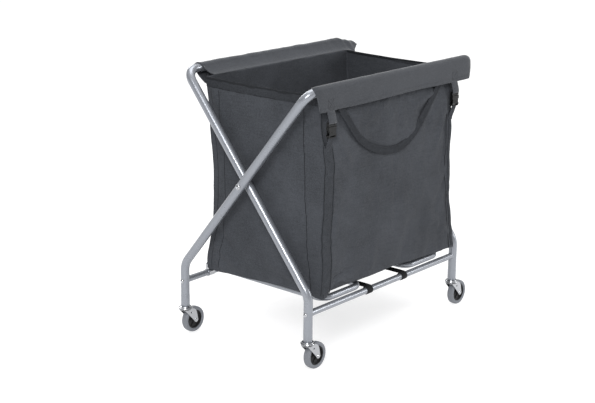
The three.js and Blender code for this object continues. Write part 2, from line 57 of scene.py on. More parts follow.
# ---------- places and sizes read from the frame, in millimetres ----------
def size_of(node):
    low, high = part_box(node)
    return low / MM, high / MM


tube_radius = 15
rail_radius = 11
loop_radius = 11
outer_low, outer_high = size_of("outer_frame_tube")
inner_low, inner_high = size_of("inner_frame_tube")
pivot_low, pivot_high = size_of("pivot_spacer_left")
mid_x = (outer_low.x + outer_high.x) / 2
mid_y = (pivot_low.y + pivot_high.y) / 2
pivot_z = (pivot_low.z + pivot_high.z) / 2
outer_half = (outer_high.x - outer_low.x) / 2 - tube_radius
inner_half = (inner_high.x - inner_low.x) / 2 - tube_radius
leg_half = outer_high.y - tube_radius - mid_y
top_half = mid_y - outer_low.y - tube_radius
top_z = outer_high.z - tube_radius
foot_z = outer_low.z
bend_z = pivot_z - (top_z - pivot_z) * leg_half / top_half
rail_low, rail_high = size_of("front_lower_rail")
rail_z = (rail_low.z + rail_high.z) / 2
loop_low, loop_high = size_of("bottom_loop_left")
loop_z = (loop_low.z + loop_high.z) / 2
wheel_low, wheel_high = size_of("caster_axle_front_left")
wheel_z = (wheel_low.z + wheel_high.z) / 2
trail = (wheel_low.x + wheel_high.x) / 2 - mid_x + inner_half
bag_low, bag_high = size_of("bag")


def place(x, y, z):
    """A point given from the middle of the cart, in millimetres, as a place in the row frame."""
    return Vector((mid_x + x, mid_y + y, z)) * MM


# ---------- camera, light and floor ----------
def look_from(target, azimuth, elevation, distance, roll, lens):
    """The camera, set by the direction it stands in from its target; angles in degrees."""
    a, e = math.radians(azimuth), math.radians(elevation)
    away = Vector((math.sin(a) * math.cos(e), -math.cos(a) * math.cos(e), math.sin(e)))
    data = bpy.data.cameras.new("camera")
    data.sensor_width = 36
    data.lens = lens
    data.clip_end = 60
    camera = bpy.data.objects.new("camera", data)
    bpy.context.scene.collection.objects.link(camera)
    turn = (-away).to_track_quat("-Z", "Y") @ Matrix.Rotation(math.radians(roll), 3,
                                                              "Z").to_quaternion()
    camera.matrix_world = Matrix.LocRotScale(target + away * distance, turn, None)
    bpy.context.scene.camera = camera


look_from(place(-159.9, 0, 465.6), azimuth=-49.57, elevation=15.92, distance=4.4655,
          roll=0.66, lens=79.63)


def area_light(name, location, target, size, watts):
    data = bpy.data.lights.new(name, "AREA")
    data.shape = "RECTANGLE"
    data.size, data.size_y = size
    data.energy = watts
    lamp = bpy.data.objects.new(name, data)
    lamp.location = location
    lamp.rotation_euler = (Vector(target) - Vector(location)).to_track_quat("-Z", "Y").to_euler()
    bpy.context.scene.collection.objects.link(lamp)


SKY_LEVELS = ((0.0, 1.0), (0.1, 1.0), (0.2, 0.3), (0.8, 0.95))  # (height, brightness)
FLOOR_GREY, FLOOR_GLOW = (0.46, 0.46, 0.465, 1), 0.66


def studio():
    """A pale room: a graded sky, four soft lights and a floor of paper."""
    bpy.context.scene.view_settings.view_transform = "Standard"
    world = bpy.data.worlds.new("studio")
    bpy.context.scene.world = world
    world.use_nodes = True
    tree = world.node_tree
    sky = tree.nodes["Background"]
    height = tree.nodes.new("ShaderNodeSeparateXYZ")
    tree.links.new(tree.nodes.new("ShaderNodeTexCoord").outputs["Generated"], height.inputs[0])
    ramp = tree.nodes.new("ShaderNodeValToRGB")
    tree.links.new(height.outputs["Z"], ramp.inputs["Fac"])
    stops = ramp.color_ramp.elements
    for at, _ in SKY_LEVELS[1:-1]:
        stops.new(at)
    for stop, (at, level) in zip(stops, SKY_LEVELS):
        stop.position, stop.color = at, (level, level, level, 1)
    tree.links.new(ramp.outputs["Color"], sky.inputs["Color"])
    area_light("key", (-3.6, -2.2, 3.0), (0, 0, 0.45), (1.5, 1.4), 150)
    area_light("front_fill", (3.2, -3.4, 1.8), (0.1, 0, 0.5), (1.6, 1.6), 55)
    area_light("top", (0.2, 0.4, 3.6), (0, 0, 0.5), (2.4, 2.0), 50)
    area_light("back_fill", (1.6, 4.0, 2.8), (0, 0, 0.5), (2.0, 1.8), 50)
    bpy.ops.mesh.primitive_plane_add(size=60, location=(0, 0, -0.0005))
    floor = bpy.context.object
    floor.name = "floor"
    paper = bpy.data.materials.new("floor_paper")
    paper.use_nodes = True
    inputs = paper.node_tree.nodes["Principled BSDF"].inputs
    for socket, value in (("Base Color", FLOOR_GREY), ("Roughness", 0.9),
                          ("Emission Color", (1, 1, 1, 1)), ("Emission Strength", FLOOR_GLOW)):
        inputs[socket].default_value = value
    floor.data.materials.append(paper)


studio()


# ---------- shader groups ----------
class NodeSheet:
    """Short names for adding and wiring shader nodes."""

    def __init__(self, tree):
        self.tree = tree

    def add(self, kind, **values):
        node = self.tree.nodes.new(kind)
        for key, value in values.items():
            setattr(node, key, value)
        return node

    def wire(self, source, target):
        self.tree.links.new(source, target)

    def put(self, value, socket):
        if isinstance(value, bpy.types.NodeSocket):
            self.wire(value, socket)
        else:
            socket.default_value = value

    def math(self, operation, a, b=0.0, clamp=False):
        node = self.add("ShaderNodeMath", operation=operation, use_clamp=clamp)
        self.put(a, node.inputs[0])
        self.put(b, node.inputs[1])
        return node.outputs[0]

    def plus(self, a, b, clamp=False):
        return self.math("ADD", a, b, clamp)

    def times(self, a, b, clamp=False):
        return self.math("MULTIPLY", a, b, clamp)

    def mix(self, share, a, b):
        node = self.add("ShaderNodeMix", data_type="RGBA")
        self.put(share, node.inputs["Factor"])
        self.put(a, node.inputs["A"])
        self.put(b, node.inputs["B"])
        return node.outputs["Result"]

    def noise(self, position, scale, detail=3.0, roughness=0.5):
        node = self.add("ShaderNodeTexNoise")
        self.wire(position, node.inputs["Vector"])
        self.put(scale, node.inputs["Scale"])
        node.inputs["Detail"].default_value = detail
        node.inputs["Roughness"].default_value = roughness
        return node.outputs["Fac"]

    def stretch(self, value, low, high):
        node = self.add("ShaderNodeMapRange")
        self.wire(value, node.inputs["Value"])
        node.inputs["From Min"].default_value = low
        node.inputs["From Max"].default_value = high
        return node.outputs["Result"]

    def place(self):
        return self.add("ShaderNodeTexCoord").outputs["Object"]

    def axes(self, position):
        """X and Y added, and Z: the two ways a thread can run on an upright wall."""
        split = self.add("ShaderNodeSeparateXYZ")
        self.wire(position, split.inputs[0])
        return self.plus(split.outputs["X"], split.outputs["Y"]), split.outputs["Z"]


def shader_group(name, inputs, outputs):
    """A node group with its sockets made, its sheet, and the sockets at its two ends."""
    tree = bpy.data.node_groups.new(name, "ShaderNodeTree")
    for label, kind, default in inputs:
        socket = tree.interface.new_socket(label, in_out="INPUT", socket_type=kind)
        socket.default_value = default
    for label, kind in outputs:
        tree.interface.new_socket(label, in_out="OUTPUT", socket_type=kind)
    sheet = NodeSheet(tree)
    start = sheet.add("NodeGroupInput").outputs
    end = sheet.add("NodeGroupOutput").inputs
    return tree, sheet, start, end


COLOR, FLOAT = "NodeSocketColor", "NodeSocketFloat"


def woven_cloth():
    """Plain weave with crossing threads, slubs and soft large-scale shading."""
    tree, s, start, end = shader_group(
        "woven_cloth",
        [("Thread Pitch", FLOAT, 0.0016), ("Dark", COLOR, (0.05, 0.05, 0.06, 1)),
         ("Light", COLOR, (0.1, 0.1, 0.11, 1)), ("Patchiness", FLOAT, 0.4)],
        [("Color", COLOR), ("Height", FLOAT), ("Roughness", FLOAT)])
    position = s.place()
    across, height = s.axes(position)
    turns = s.math("DIVIDE", TAU, start["Thread Pitch"])
    warp = s.math("SINE", s.times(across, turns))
    weft = s.math("SINE", s.times(height, turns))
    cross = s.times(warp, weft)
    threads = s.plus(s.times(cross, 0.5), 0.5)
    slub = s.noise(position, 900.0, 2.0)
    mottle = s.stretch(s.noise(position, 210.0, 3.0, 0.65), 0.3, 0.7)
    patch = s.noise(position, 5.0, 4.0, 0.6)
    streak_place = s.add("ShaderNodeMapping")
    s.wire(position, streak_place.inputs["Vector"])
    streak_place.inputs["Scale"].default_value = (1, 1, 14)
    streak = s.noise(streak_place.outputs["Vector"], 22.0, 2.0)
    shade = s.plus(s.times(threads, 0.35), s.times(slub, 0.2))
    shade = s.plus(shade, s.times(mottle, 0.3))
    broad = s.times(s.plus(patch, s.times(streak, 0.4)), start["Patchiness"])
    share = s.plus(shade, s.math("SUBTRACT", broad, s.times(start["Patchiness"], 0.7)), clamp=True)
    s.wire(s.mix(share, start["Dark"], start["Light"]), end["Color"])
    s.wire(s.plus(threads, s.times(slub, 0.5)), end["Height"])
    s.wire(s.plus(0.78, s.times(slub, 0.16)), end["Roughness"])
    return tree


def ribbed_webbing():
    """Strap webbing: fine cross ribs with a herringbone twill running along it."""
    tree, s, start, end = shader_group(
        "ribbed_webbing",
        [("Rib Pitch", FLOAT, 0.0022), ("Dark", COLOR, (0.02, 0.02, 0.025, 1)),
         ("Light", COLOR, (0.07, 0.07, 0.08, 1))],
        [("Color", COLOR), ("Height", FLOAT)])
    position = s.place()
    side, upward = s.axes(position)
    turns = s.math("DIVIDE", TAU, start["Rib Pitch"])
    zigzag = s.math("PINGPONG", side, 0.0045)
    slanted = s.plus(upward, zigzag)
    rib = s.math("SINE", s.times(slanted, turns))
    fine = s.math("SINE", s.times(side, s.times(turns, 1.7)))
    height = s.plus(s.times(rib, 0.36), s.times(fine, 0.14))
    share = s.plus(s.plus(height, 0.3), s.times(s.noise(position, 60.0), 0.4), clamp=True)
    s.wire(s.mix(share, start["Dark"], start["Light"]), end["Color"])
    s.wire(height, end["Height"])
    return tree


def coat_and_wear():
    """Paint or plating: fine grain, faint smudges, and wear in scattered rubbed spots."""
    tree, s, start, end = shader_group(
        "coat_and_wear",
        [("Coat", COLOR, (0.5, 0.5, 0.5, 1)), ("Worn", COLOR, (0.7, 0.7, 0.7, 1)),
         ("Wear", FLOAT, 0.3), ("Grain", FLOAT, 900.0), ("Base Roughness", FLOAT, 0.35)],
        [("Color", COLOR), ("Roughness", FLOAT), ("Height", FLOAT), ("Mask", FLOAT)])
    position = s.place()
    grain = s.noise(position, start["Grain"], 2.0)
    smudge = s.noise(position, 14.0, 5.0, 0.62)
    rubbed = s.stretch(s.noise(position, 46.0, 4.0, 0.7), 0.58, 0.74)
    mask = s.times(rubbed, start["Wear"], clamp=True)
    tone = s.plus(s.times(smudge, 0.3), s.times(grain, 0.25))
    darker = s.mix(0.84, (0, 0, 0, 1), start["Coat"])
    body = s.mix(s.plus(tone, 0.45, clamp=True), darker, start["Coat"])
    s.wire(s.mix(mask, body, start["Worn"]), end["Color"])
    uneven = s.times(s.math("SUBTRACT", smudge, 0.5), 0.3)
    s.wire(s.plus(start["Base Roughness"], uneven, clamp=True), end["Roughness"])
    s.wire(s.math("SUBTRACT", grain, s.times(mask, 0.4)), end["Height"])
    s.wire(mask, end["Mask"])
    return tree


def moulded_grain():
    """Moulded plastic or rubber: pebbled grain, a dusty bloom and scuffs."""
    tree, s, start, end = shader_group(
        "moulded_grain",
        [("Body", COLOR, (0.03, 0.03, 0.03, 1)), ("Dust", COLOR, (0.3, 0.3, 0.3, 1)),
         ("Dustiness", FLOAT, 0.2), ("Grain", FLOAT, 700.0), ("Base Roughness", FLOAT, 0.5)],
        [("Color", COLOR), ("Roughness", FLOAT), ("Height", FLOAT)])
    position = s.place()
    grain = s.noise(position, start["Grain"], 3.0)
    scuff = s.stretch(s.noise(position, 80.0, 5.0, 0.7), 0.5, 0.8)
    bloom = s.noise(position, 18.0, 3.0)
    share = s.times(s.plus(scuff, s.times(bloom, 0.6)), start["Dustiness"], clamp=True)
    s.wire(s.mix(share, start["Body"], start["Dust"]), end["Color"])
    s.wire(s.plus(start["Base Roughness"], s.times(scuff, 0.25), clamp=True), end["Roughness"])
    s.wire(grain, end["Height"])
    return tree


# ---------- materials ----------
groups = {make.__name__: make() for make in (woven_cloth, ribbed_webbing, coat_and_wear, moulded_grain)}


def material(name, group, values, bump, constants=()):
    """A Principled material fed by one of the shader groups."""
    made = bpy.data.materials.new(name)
    made.use_nodes = True
    s = NodeSheet(made.node_tree)
    shader = made.node_tree.nodes["Principled BSDF"]
    for socket, value in dict(constants).items():
        shader.inputs[socket].default_value = value
    detail = s.add("ShaderNodeGroup", node_tree=groups[group])
    for socket, value in values.items():
        detail.inputs[socket].default_value = value
    s.wire(detail.outputs["Color"], shader.inputs["Base Color"])
    if "Roughness" in detail.outputs:
        s.wire(detail.outputs["Roughness"], shader.inputs["Roughness"])
    relief = s.add("ShaderNodeBump")
    relief.inputs["Distance"].default_value = bump[0]
    relief.inputs["Strength"].default_value = bump[1]
    s.wire(detail.outputs["Height"], relief.inputs["Height"])
    s.wire(relief.outputs["Normal"], shader.inputs["Normal"])
    return made


def grey(level, blue=1.0):
    """A grey that leans a little to blue."""
    return (level, level * (1 + 0.04 * blue), level * (1 + 0.12 * blue), 1)


def metal(name, coat, worn, wear, grain, roughness, bump, constants):
    values = {"Coat": coat, "Worn": worn, "Wear": wear, "Grain": grain, "Base Roughness": roughness}
    return material(name, "coat_and_wear", values, bump, constants)


def moulded(name, body, dust, dustiness, grain, roughness, bump, constants=()):
    values = {"Body": body, "Dust": dust, "Dustiness": dustiness, "Grain": grain,
              "Base Roughness": roughness}
    return material(name, "moulded_grain", values, bump, constants)


def cloth(name, dark, light, patchiness, bump, specular, sheen=None, pitch=0.0019):
    values = {"Thread Pitch": pitch, "Dark": grey(dark, 2), "Light": grey(light, 2),
              "Patchiness": patchiness}
    constants = {"Specular IOR Level": specular}
    if sheen:
        constants["Sheen Weight"], constants["Sheen Roughness"] = sheen
    return material(name, "woven_cloth", values, bump, constants)


def strap_webbing(name, dark, light, roughness, specular, pitch=0.0042):
    return material(name, "ribbed_webbing", {"Rib Pitch": pitch, "Dark": dark, "Light": light},
                    (0.0006, 0.6), {"Roughness": roughness, "Specular IOR Level": specular})


DULL = {"Specular IOR Level": 0.25}
frame_paint = metal("silver_grey_powder_coat", grey(0.25, 1.4), grey(0.32), 0.05, 1100.0, 0.3,
                    (0.0001, 0.2),
                    {"Metallic": 0.6, "Coat Weight": 0.25, "Coat Roughness": 0.2})
zinc = metal("bright_zinc_plate", grey(0.44, 0.5), grey(0.26), 0.45, 1600.0, 0.17, (0.00008, 0.3),
             {"Metallic": 1.0})
tyre_rubber = moulded("grey_rubber_tyre", grey(0.13, 1.5), grey(0.23, 1.5), 0.4, 900.0, 0.62,
                      (0.0003, 0.35))
hub_plastic = moulded("black_hub_plastic", grey(0.008), grey(0.04), 0.12, 1200.0, 0.45,
                      (0.0002, 0.3), DULL)
buckle_plastic = moulded("black_buckle_plastic", grey(0.0015, 3), grey(0.010, 3), 0.08, 1500.0, 0.4,
                         (0.00015, 0.3), DULL)
nylon = moulded("natural_nylon", (0.7, 0.69, 0.63, 1), (0.5, 0.49, 0.46, 1), 0.3, 800.0, 0.42,
                (0.0001, 0.2))
bag_cloth = cloth("slate_bag_cloth", 0.019, 0.070, 0.75, (0.0004, 0.3), 0.12, (0.03, 0.5))
cuff_cloth = cloth("slate_cuff_cloth", 0.020, 0.070, 0.35, (0.0004, 0.3), 0.25, (0.28, 0.35))
binding_tape = cloth("dark_binding_tape", 0.008, 0.024, 0.3, (0.0003, 0.4), 0.12, pitch=0.0013)
webbing = strap_webbing("dark_grey_webbing", grey(0.005, 2), grey(0.064, 2), 0.85, 0.12)
handle_webbing = strap_webbing("handle_webbing", grey(0.004, 2), grey(0.046, 2), 0.85, 0.1)
hem_cloth = cloth("folded_hem_cloth", 0.010, 0.048, 0.4, (0.0005, 0.5), 0.12)
black_webbing = strap_webbing("black_webbing", grey(0.005), grey(0.022), 0.8, 0.15, 0.0036)
thread = moulded("sewing_thread", grey(0.012, 2), grey(0.05, 2), 0.4, 3000.0, 0.7, (0.0001, 0.4))


# ---------- mesh helpers: points are in millimetres, from the middle of the cart ----------
def to_row(points):
    return (np.asarray(points, float).reshape(-1, 3) + np.array([mid_x, mid_y, 0.0])) * MM


def build(name, points, faces, finish, sharp=40):
    """A mesh object from points and faces, shaded smooth except over sharp edges."""
    mesh = bpy.data.meshes.new(name)
    mesh.from_pydata(to_row(points).tolist(), [], [tuple(int(i) for i in face) for face in faces])
    mesh.materials.append(finish)
    mesh.polygons.foreach_set("use_smooth", [True] * len(mesh.polygons))
    mesh.set_sharp_from_angle(angle=math.radians(sharp))
    mesh.update()
    made = bpy.data.objects.new(name, mesh)
    bpy.context.scene.collection.objects.link(made)
    return made


def weld(parts):
    """Several (points, faces) parts as one."""
    points, faces, start = [], [], 0
    for part_points, part_faces in parts:
        points.append(np.asarray(part_points, float).reshape(-1, 3))
        faces += [[i + start for i in face] for face in part_faces]
        start += len(points[-1])
    return np.vstack(points), faces


def skin(rings, ends=True, ring_closed=True, loop=False):
    """Quads between rings of equal length, with filled ends unless the rings loop round."""
    rings = [np.asarray(ring, float) for ring in rings]
    count, sides = len(rings), len(rings[0])
    faces = []
    for k in range(count if loop else count - 1):
        a, b = k * sides, ((k + 1) % count) * sides
        for i in range(sides if ring_closed else sides - 1):
            j = (i + 1) % sides
            faces.append([a + i, a + j, b + j, b + i])
    if ends and ring_closed and not loop:
        faces.append(list(range(sides))[::-1])
        faces.append([(count - 1) * sides + i for i in range(sides)])
    return np.vstack(rings), faces


def unit(v):
    v = np.asarray(v, float)
    return v / np.linalg.norm(v)


def travelled(points):
    """The distance along a line at each of its points."""
    return np.concatenate([[0], np.cumsum(np.linalg.norm(np.diff(points, axis=0), axis=1))])


def circle(radius, sides):
    turn = np.arange(sides) * TAU / sides
    return np.column_stack([radius * np.cos(turn), radius * np.sin(turn)])


def rounded_bar(width, thickness, radius, steps=3):
    """The section of a bar or band with rounded corners, as (side, up) points."""
    points = []
    for k, (sx, sy) in enumerate(((1, -1), (1, 1), (-1, 1), (-1, -1))):
        for step in range(steps + 1):
            a = (k - 1) * math.pi / 2 + step * math.pi / 2 / steps
            points.append((sx * (width / 2 - radius) + radius * math.cos(a),
                           sy * (thickness / 2 - radius) + radius * math.sin(a)))
    return np.array(points)


def bent_path(corners, radii, arc_steps=12, longest=45):
    """A tube's centre line: straight runs between corners and an arc at each one."""
    corners = [np.asarray(c, float) for c in corners]
    points = [corners[0]]
    for before, corner, after, radius in zip(corners, corners[1:], corners[2:], radii):
        into, out = unit(corner - before), unit(after - corner)
        angle = math.acos(np.clip(into @ out, -1, 1))
        start = corner - into * radius * math.tan(angle / 2)
        inward = unit(out - into * (out @ into))
        for k in range(arc_steps + 1):
            a = angle * k / arc_steps
            points.append(start + into * radius * math.sin(a) + inward * radius * (1 - math.cos(a)))
    points.append(corners[-1])
    full = [points[0]]
    for point in points[1:]:
        pieces = max(1, math.ceil(np.linalg.norm(point - full[-1]) / longest))
        last = full[-1]
        full += [last + (point - last) * k / pieces for k in range(1, pieces + 1)]
    return np.array(full)


def sweep(path, section, side=None, roll=None):
    """Rings of a section along a path. side is the section's first axis at the start."""
    path = np.asarray(path, float)
    tangents = [unit(path[min(i + 1, len(path) - 1)] - path[max(i - 1, 0)]) for i in range(len(path))]
    if side is None:
        side = np.cross(tangents[0], (0, 0, 1) if abs(tangents[0][2]) < 0.9 else (0, 1, 0))
    rings = []
    for i, (point, tangent) in enumerate(zip(path, tangents)):
        side = unit(side - tangent * (side @ tangent))
        up = np.cross(tangent, side)
        a = roll(i / (len(path) - 1)) if roll else 0.0
        across, along = side * math.cos(a) + up * math.sin(a), up * math.cos(a) - side * math.sin(a)
        rings.append([point + across * u + along * v for u, v in section])
    return rings


def lathe(profile, sides, axis="z"):
    """A profile of (radius, height) points turned about an axis; it starts and ends on the axis
    or closes on itself."""
    closed = profile[0] == profile[-1]
    profile = profile[:-1] if closed else profile
    turn = np.arange(sides) * TAU / sides
    points, rows = [], []
    for radius, height in profile:
        if radius == 0:
            rows.append([len(points)] * sides)
            points.append((0, 0, height))
        else:
            rows.append(list(range(len(points), len(points) + sides)))
            points += [(radius * math.cos(a), radius * math.sin(a), height) for a in turn]
    faces = []
    for a, b in zip(rows, rows[1:] + rows[:1] if closed else rows[1:]):
        for i in range(sides):
            j = (i + 1) % sides
            faces.append(list(dict.fromkeys([a[i], a[j], b[j], b[i]])))
    points = np.array(points, float)
    order = {"z": (0, 1, 2), "x": (2, 0, 1), "y": (1, 2, 0)}[axis]
    return points[:, order], [face for face in faces if len(face) > 2]


def plate(outline, low, high, holes=()):
    """A flat (x, z) outline with holes, made solid between two places along Y."""
    loops = [[Vector((u, v, 0)) for u, v in loop] for loop in (outline, *holes)]
    flat = [p for loop in loops for p in loop]
    triangles = [list(t) for t in geometry.tessellate_polygon(loops)]
    count = len(flat)
    points = [(p.x, d, p.y) for d in (low, high) for p in flat]
    faces = triangles + [[i + count for i in t[::-1]] for t in triangles]
    start = 0
    for loop in loops:
        size = len(loop)
        for i in range(size):
            a, b = start + i, start + (i + 1) % size
            faces.append([a, b, b + count, a + count])
        start += size
    return np.array(points, float), faces


def arc_points(centre, radius, start, end, steps):
    turns = [start + (end - start) * k / steps for k in range(steps + 1)]
    return [(centre[0] + radius * math.cos(a), centre[1] + radius * math.sin(a)) for a in turns]


def moved(part, offset, scale=(1, 1, 1)):
    """A part shifted, and mirrored where a scale is negative."""
    points, faces = part
    flipped = scale[0] * scale[1] * scale[2] < 0
    return points * np.array(scale) + np.array(offset), [f[::-1] for f in faces] if flipped else faces


def face_out(made):
    """Turns every face of a closed mesh outward."""
    mesh = bmesh.new()
    mesh.from_mesh(made.data)
    bmesh.ops.recalc_face_normals(mesh, faces=mesh.faces)
    mesh.to_mesh(made.data)
    mesh.free()


def bevel(made, width, segments=2, angle=40):
    """Rounds the sharp edges of a hard piece."""
    step = made.modifiers.new("soft_edges", "BEVEL")
    step.width = width * MM
    step.segments = segments
    step.limit_method = "ANGLE"
    step.angle_limit = math.radians(angle)
    step.harden_normals = False


def thicken(made, thickness):
    step = made.modifiers.new("cloth_thickness", "SOLIDIFY")
    step.thickness = thickness * MM
    step.offset = 0.0


def attach(body, slot, *pieces):
    """Each piece rides on a body; the slot is not used."""
    for piece in pieces:
        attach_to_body(piece, body)


def show(made, body, slot, node):
    """A hard piece that stands for one CAD node."""
    face_out(made)
    attach(body, slot, made)
    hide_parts(node)


def swept(name, path, section, side, finish):
    """A section swept along a path, as a piece of its own."""
    return build(name, *skin(sweep(path, section, side=side)), finish, 60)


# ---------- frames ----------
FRAMES = (
    {"name": "outer", "rail": "back", "half": outer_half, "leg": 1, "body": "outer_frame"},
    {"name": "inner", "rail": "front", "half": inner_half, "leg": -1, "body": "inner_frame"},
)
ENDS = (("left", -1), ("right", 1))
leg_bend_radius, top_bend_radius = 70, 45
ferrule_top = 141


def frame_path(half, leg):
    def side(x):
        return [(x, leg * leg_half, foot_z), (x, leg * leg_half, bend_z), (x, -leg * top_half, top_z)]
    return bent_path(side(-half) + side(half)[::-1],
                     (leg_bend_radius, top_bend_radius, top_bend_radius, leg_bend_radius), 16)


def frame_tube(spec):
    """One bent tube with a swaged ferrule at each foot."""
    tube = skin(sweep(frame_path(spec["half"], spec["leg"]), circle(tube_radius, 40)))
    swage = [(0, foot_z), (13, foot_z), (14.6, foot_z + 0.8), (15.35, foot_z + 2),
             (15.4, ferrule_top - 1.6), (15.1, ferrule_top - 0.5), (13, ferrule_top), (0, ferrule_top)]
    collar = [(14, ferrule_top + 1), (15.1, ferrule_top + 1.1), (15.25, ferrule_top + 2),
              (15.1, ferrule_top + 2.9), (14, ferrule_top + 3), (14, ferrule_top + 1)]
    feet = [moved(lathe(profile, 40), (sign * spec["half"], spec["leg"] * leg_half, 0))
            for _, sign in ENDS for profile in (swage, collar)]
    made = build(f"{spec['name']}_frame_bent_tube", *weld([tube, *feet]), frame_paint)
    show(made, spec["body"], "frame_paint", f"{spec['name']}_frame_tube")


def lower_rail(spec):
    """A straight tube whose ends are cut to the round of the legs."""
    legs = tube_radius + 0.2
    rings = []
    for share in np.linspace(-1, 1, 33):
        ring = []
        for u, v in circle(rail_radius, 32):
            reach = spec["half"] - math.sqrt(legs ** 2 - u ** 2)
            ring.append((share * reach, spec["leg"] * leg_half + u, rail_z + v))
        rings.append(ring)
    made = build(f"{spec['rail']}_lower_rail_tube", *skin(rings), frame_paint)
    show(made, spec["body"], "frame_paint", f"{spec['rail']}_lower_rail")


def domed_bolt(head_radius, head_height, shank_radius, shank_length):
    """A domed head with a hex socket, a washer under it and a shank, along +X."""
    socket = head_radius * 0.36
    dome = arc_points((0, 0), 1, math.pi / 2, 0, 7)
    profile = [(0, -head_height * 0.45), (socket, -head_height * 0.45),
               (socket * 1.02, -head_height * 0.97)]
    profile += [(head_radius * u, -head_height * v) for u, v in dome if u > socket / head_radius * 1.1]
    profile += [(head_radius, 0.4), (shank_radius, 0.4), (shank_radius, shank_length),
                (0, shank_length)]
    washer = [(shank_radius, -0.2), (head_radius * 1.12, -0.2), (head_radius * 1.15, 0.3),
              (head_radius * 1.12, 0.7), (shank_radius, 0.7), (shank_radius, -0.2)]
    return weld([lathe(profile, 36, "x"), lathe(washer, 36, "x")])


def bolts():
    for spec in FRAMES:
        for end, sign in ENDS:
            bolt = domed_bolt(7, 4, 3, 46)
            at = (sign * (spec["half"] + tube_radius), spec["leg"] * leg_half, rail_z)
            node = f"{spec['rail']}_rail_bolt_{end}"
            made = build(f"{node}_domed", *moved(bolt, at, (-sign, 1, 1)), zinc, 30)
            show(made, spec["body"], "zinc_steel", node)
    for end, sign in ENDS:
        bolt = domed_bolt(9, 5, 4, 71)
        at = (sign * (outer_half + tube_radius), 0, pivot_z)
        made = build(f"pivot_bolt_{end}_domed", *moved(bolt, at, (-sign, 1, 1)), zinc, 30)
        show(made, "outer_frame", "zinc_steel", f"pivot_bolt_{end}")


# ---------- casters, drawn with the swivel axis on x = y = 0 ----------
fork_top = 94
cheek_inside = 14.5
tyre_half = 12.5
rim_radius = 32


def caster_stem():
    """Plug, shoulder, two pressed race rings and the kingpin."""
    return lathe([
        (0, 88.6), (4.5, 88.6), (7.3, 89.2), (7.4, 91.1), (5, 91.2), (5, 95.6), (19, 95.6),
                  (21.8, 95.1),
        (23.4, 94.9), (24, 96.2), (23.2, 97.6), (21.4, 98.1), (20.2, 98.6), (19.4, 99.6), (19.9, 100.6),
        (19.4, 101.5), (17.6, 101.9), (16.4, 102.3), (15, 102.7), (12.4, 102.7), (12.4, 140),
                  (0, 140)], 44)


def fork_cheek_outline():
    """Seen from the side: a horn that narrows from the plate to the axle eye."""
    eye = arc_points((trail, wheel_z), 8.6, -2.5, 0.55, 12)
    return [(-14.5, fork_top - 2), (-14.2, fork_top - 5.5), (-12, fork_top - 9.5), (-8, fork_top - 14),
            (-3, fork_top - 19), (4, fork_top - 26.5), (13, fork_top - 36), (22, fork_top - 45.5), *eye,
            (41, fork_top - 33), (38, fork_top - 20), (33, fork_top - 11), (27, fork_top - 6),
            (20.5, fork_top - 3), (17, fork_top - 2)]


def caster_fork():
    """A domed plate, a ball race under it and two cheeks with a square relief hole."""
    dome = lathe([(5.4, 91.4), (20.6, 91.4), (21.9, 90.6), (22.6, 91.4), (22.2, 92.6), (20.8, 93.6),
                  (18.5, 94.2), (12, 94.4), (5.4, 94.4), (5.4, 91.4)], 44)
    neck = lathe([(8, 89.7), (19.2, 89.7), (21, 88.8), (22.1, 89.5), (21.6, 90.9), (8, 90.9),
                  (8, 89.7)], 44)
    hole = [(12.5 + a, fork_top - 17 + b)
            for a, b in ((-2.6, -2.6), (-2.6, 2.6), (2.6, 2.6), (2.6, -2.6))]
    bore = arc_points((trail, wheel_z), 4.2, 0, -TAU * 15 / 16, 15)
    cheeks = [plate(fork_cheek_outline(), *sorted((side * cheek_inside, side * (cheek_inside + 2.5))),
                    (hole, bore)) for side in (-1, 1)]
    return weld([dome, neck, *cheeks])


def riveted_axle():
    face = cheek_inside + 2.7
    return lathe([(0, -face - 3), (2.4, -face - 2.8), (5, -face - 1.7), (6, -face), (4, -face),
                  (4, face),
                  (6, face), (5, face + 1.7), (2.4, face + 2.8), (0, face + 3)], 28, "y")


def wheel_hub():
    """A boss, a dished web with six ribs and a lipped rim."""
    half = tyre_half - 2.6
    disc = lathe([(4.3, -14), (8.6, -14), (9.6, -13.2), (10.6, -6), (13, -4.4), (25.5, -4.4),
                  (27.4, -5.2),
                  (28.6, -half), (31.2, -half), (32, -half + 0.8), (32, half - 0.8), (31.2, half),
                  (28.6, half), (27.4, 5.2), (25.5, 4.4), (13, 4.4), (10.6, 6), (9.6, 13.2), (8.6, 14),
                  (4.3, 14), (4.3, -14)], 56, "y")
    ribs = []
    for k in range(6):
        a = k * TAU / 6
        along, across = np.array([math.cos(a), 0, math.sin(a)]), np.array([-math.sin(a), 0,
                                                                           math.cos(a)])
        for side in (-1, 1):
            rings = [[along * r + across * w + np.array([0, side * d, 0]) for w, d in
                      ((-1.1, 4), (-0.8, h), (0.8, h), (1.1, 4))]
                     for r, h in ((9.6, 9.5), (18, 7.2), (28, 6.6))]
            ribs.append(skin(rings))
    return weld([disc, *ribs])


def tyre():
    """A soft tread with a slight crown and rounded shoulders."""
    seat = rim_radius + 0.3
    r, half = wheel_z, tyre_half
    side = [(seat, -half + 2.6), (seat + 1.5, -half + 1.1), (r - 7, -half), (r - 4.2, -half + 0.5),
            (r - 2.0, -half + 1.9), (r - 0.75, -half + 4.2), (r - 0.15, -half + 8)]
    return lathe(side + [(r, 0)] + [(u, -v) for u, v in side[::-1]] + [side[0]], 96, "y")


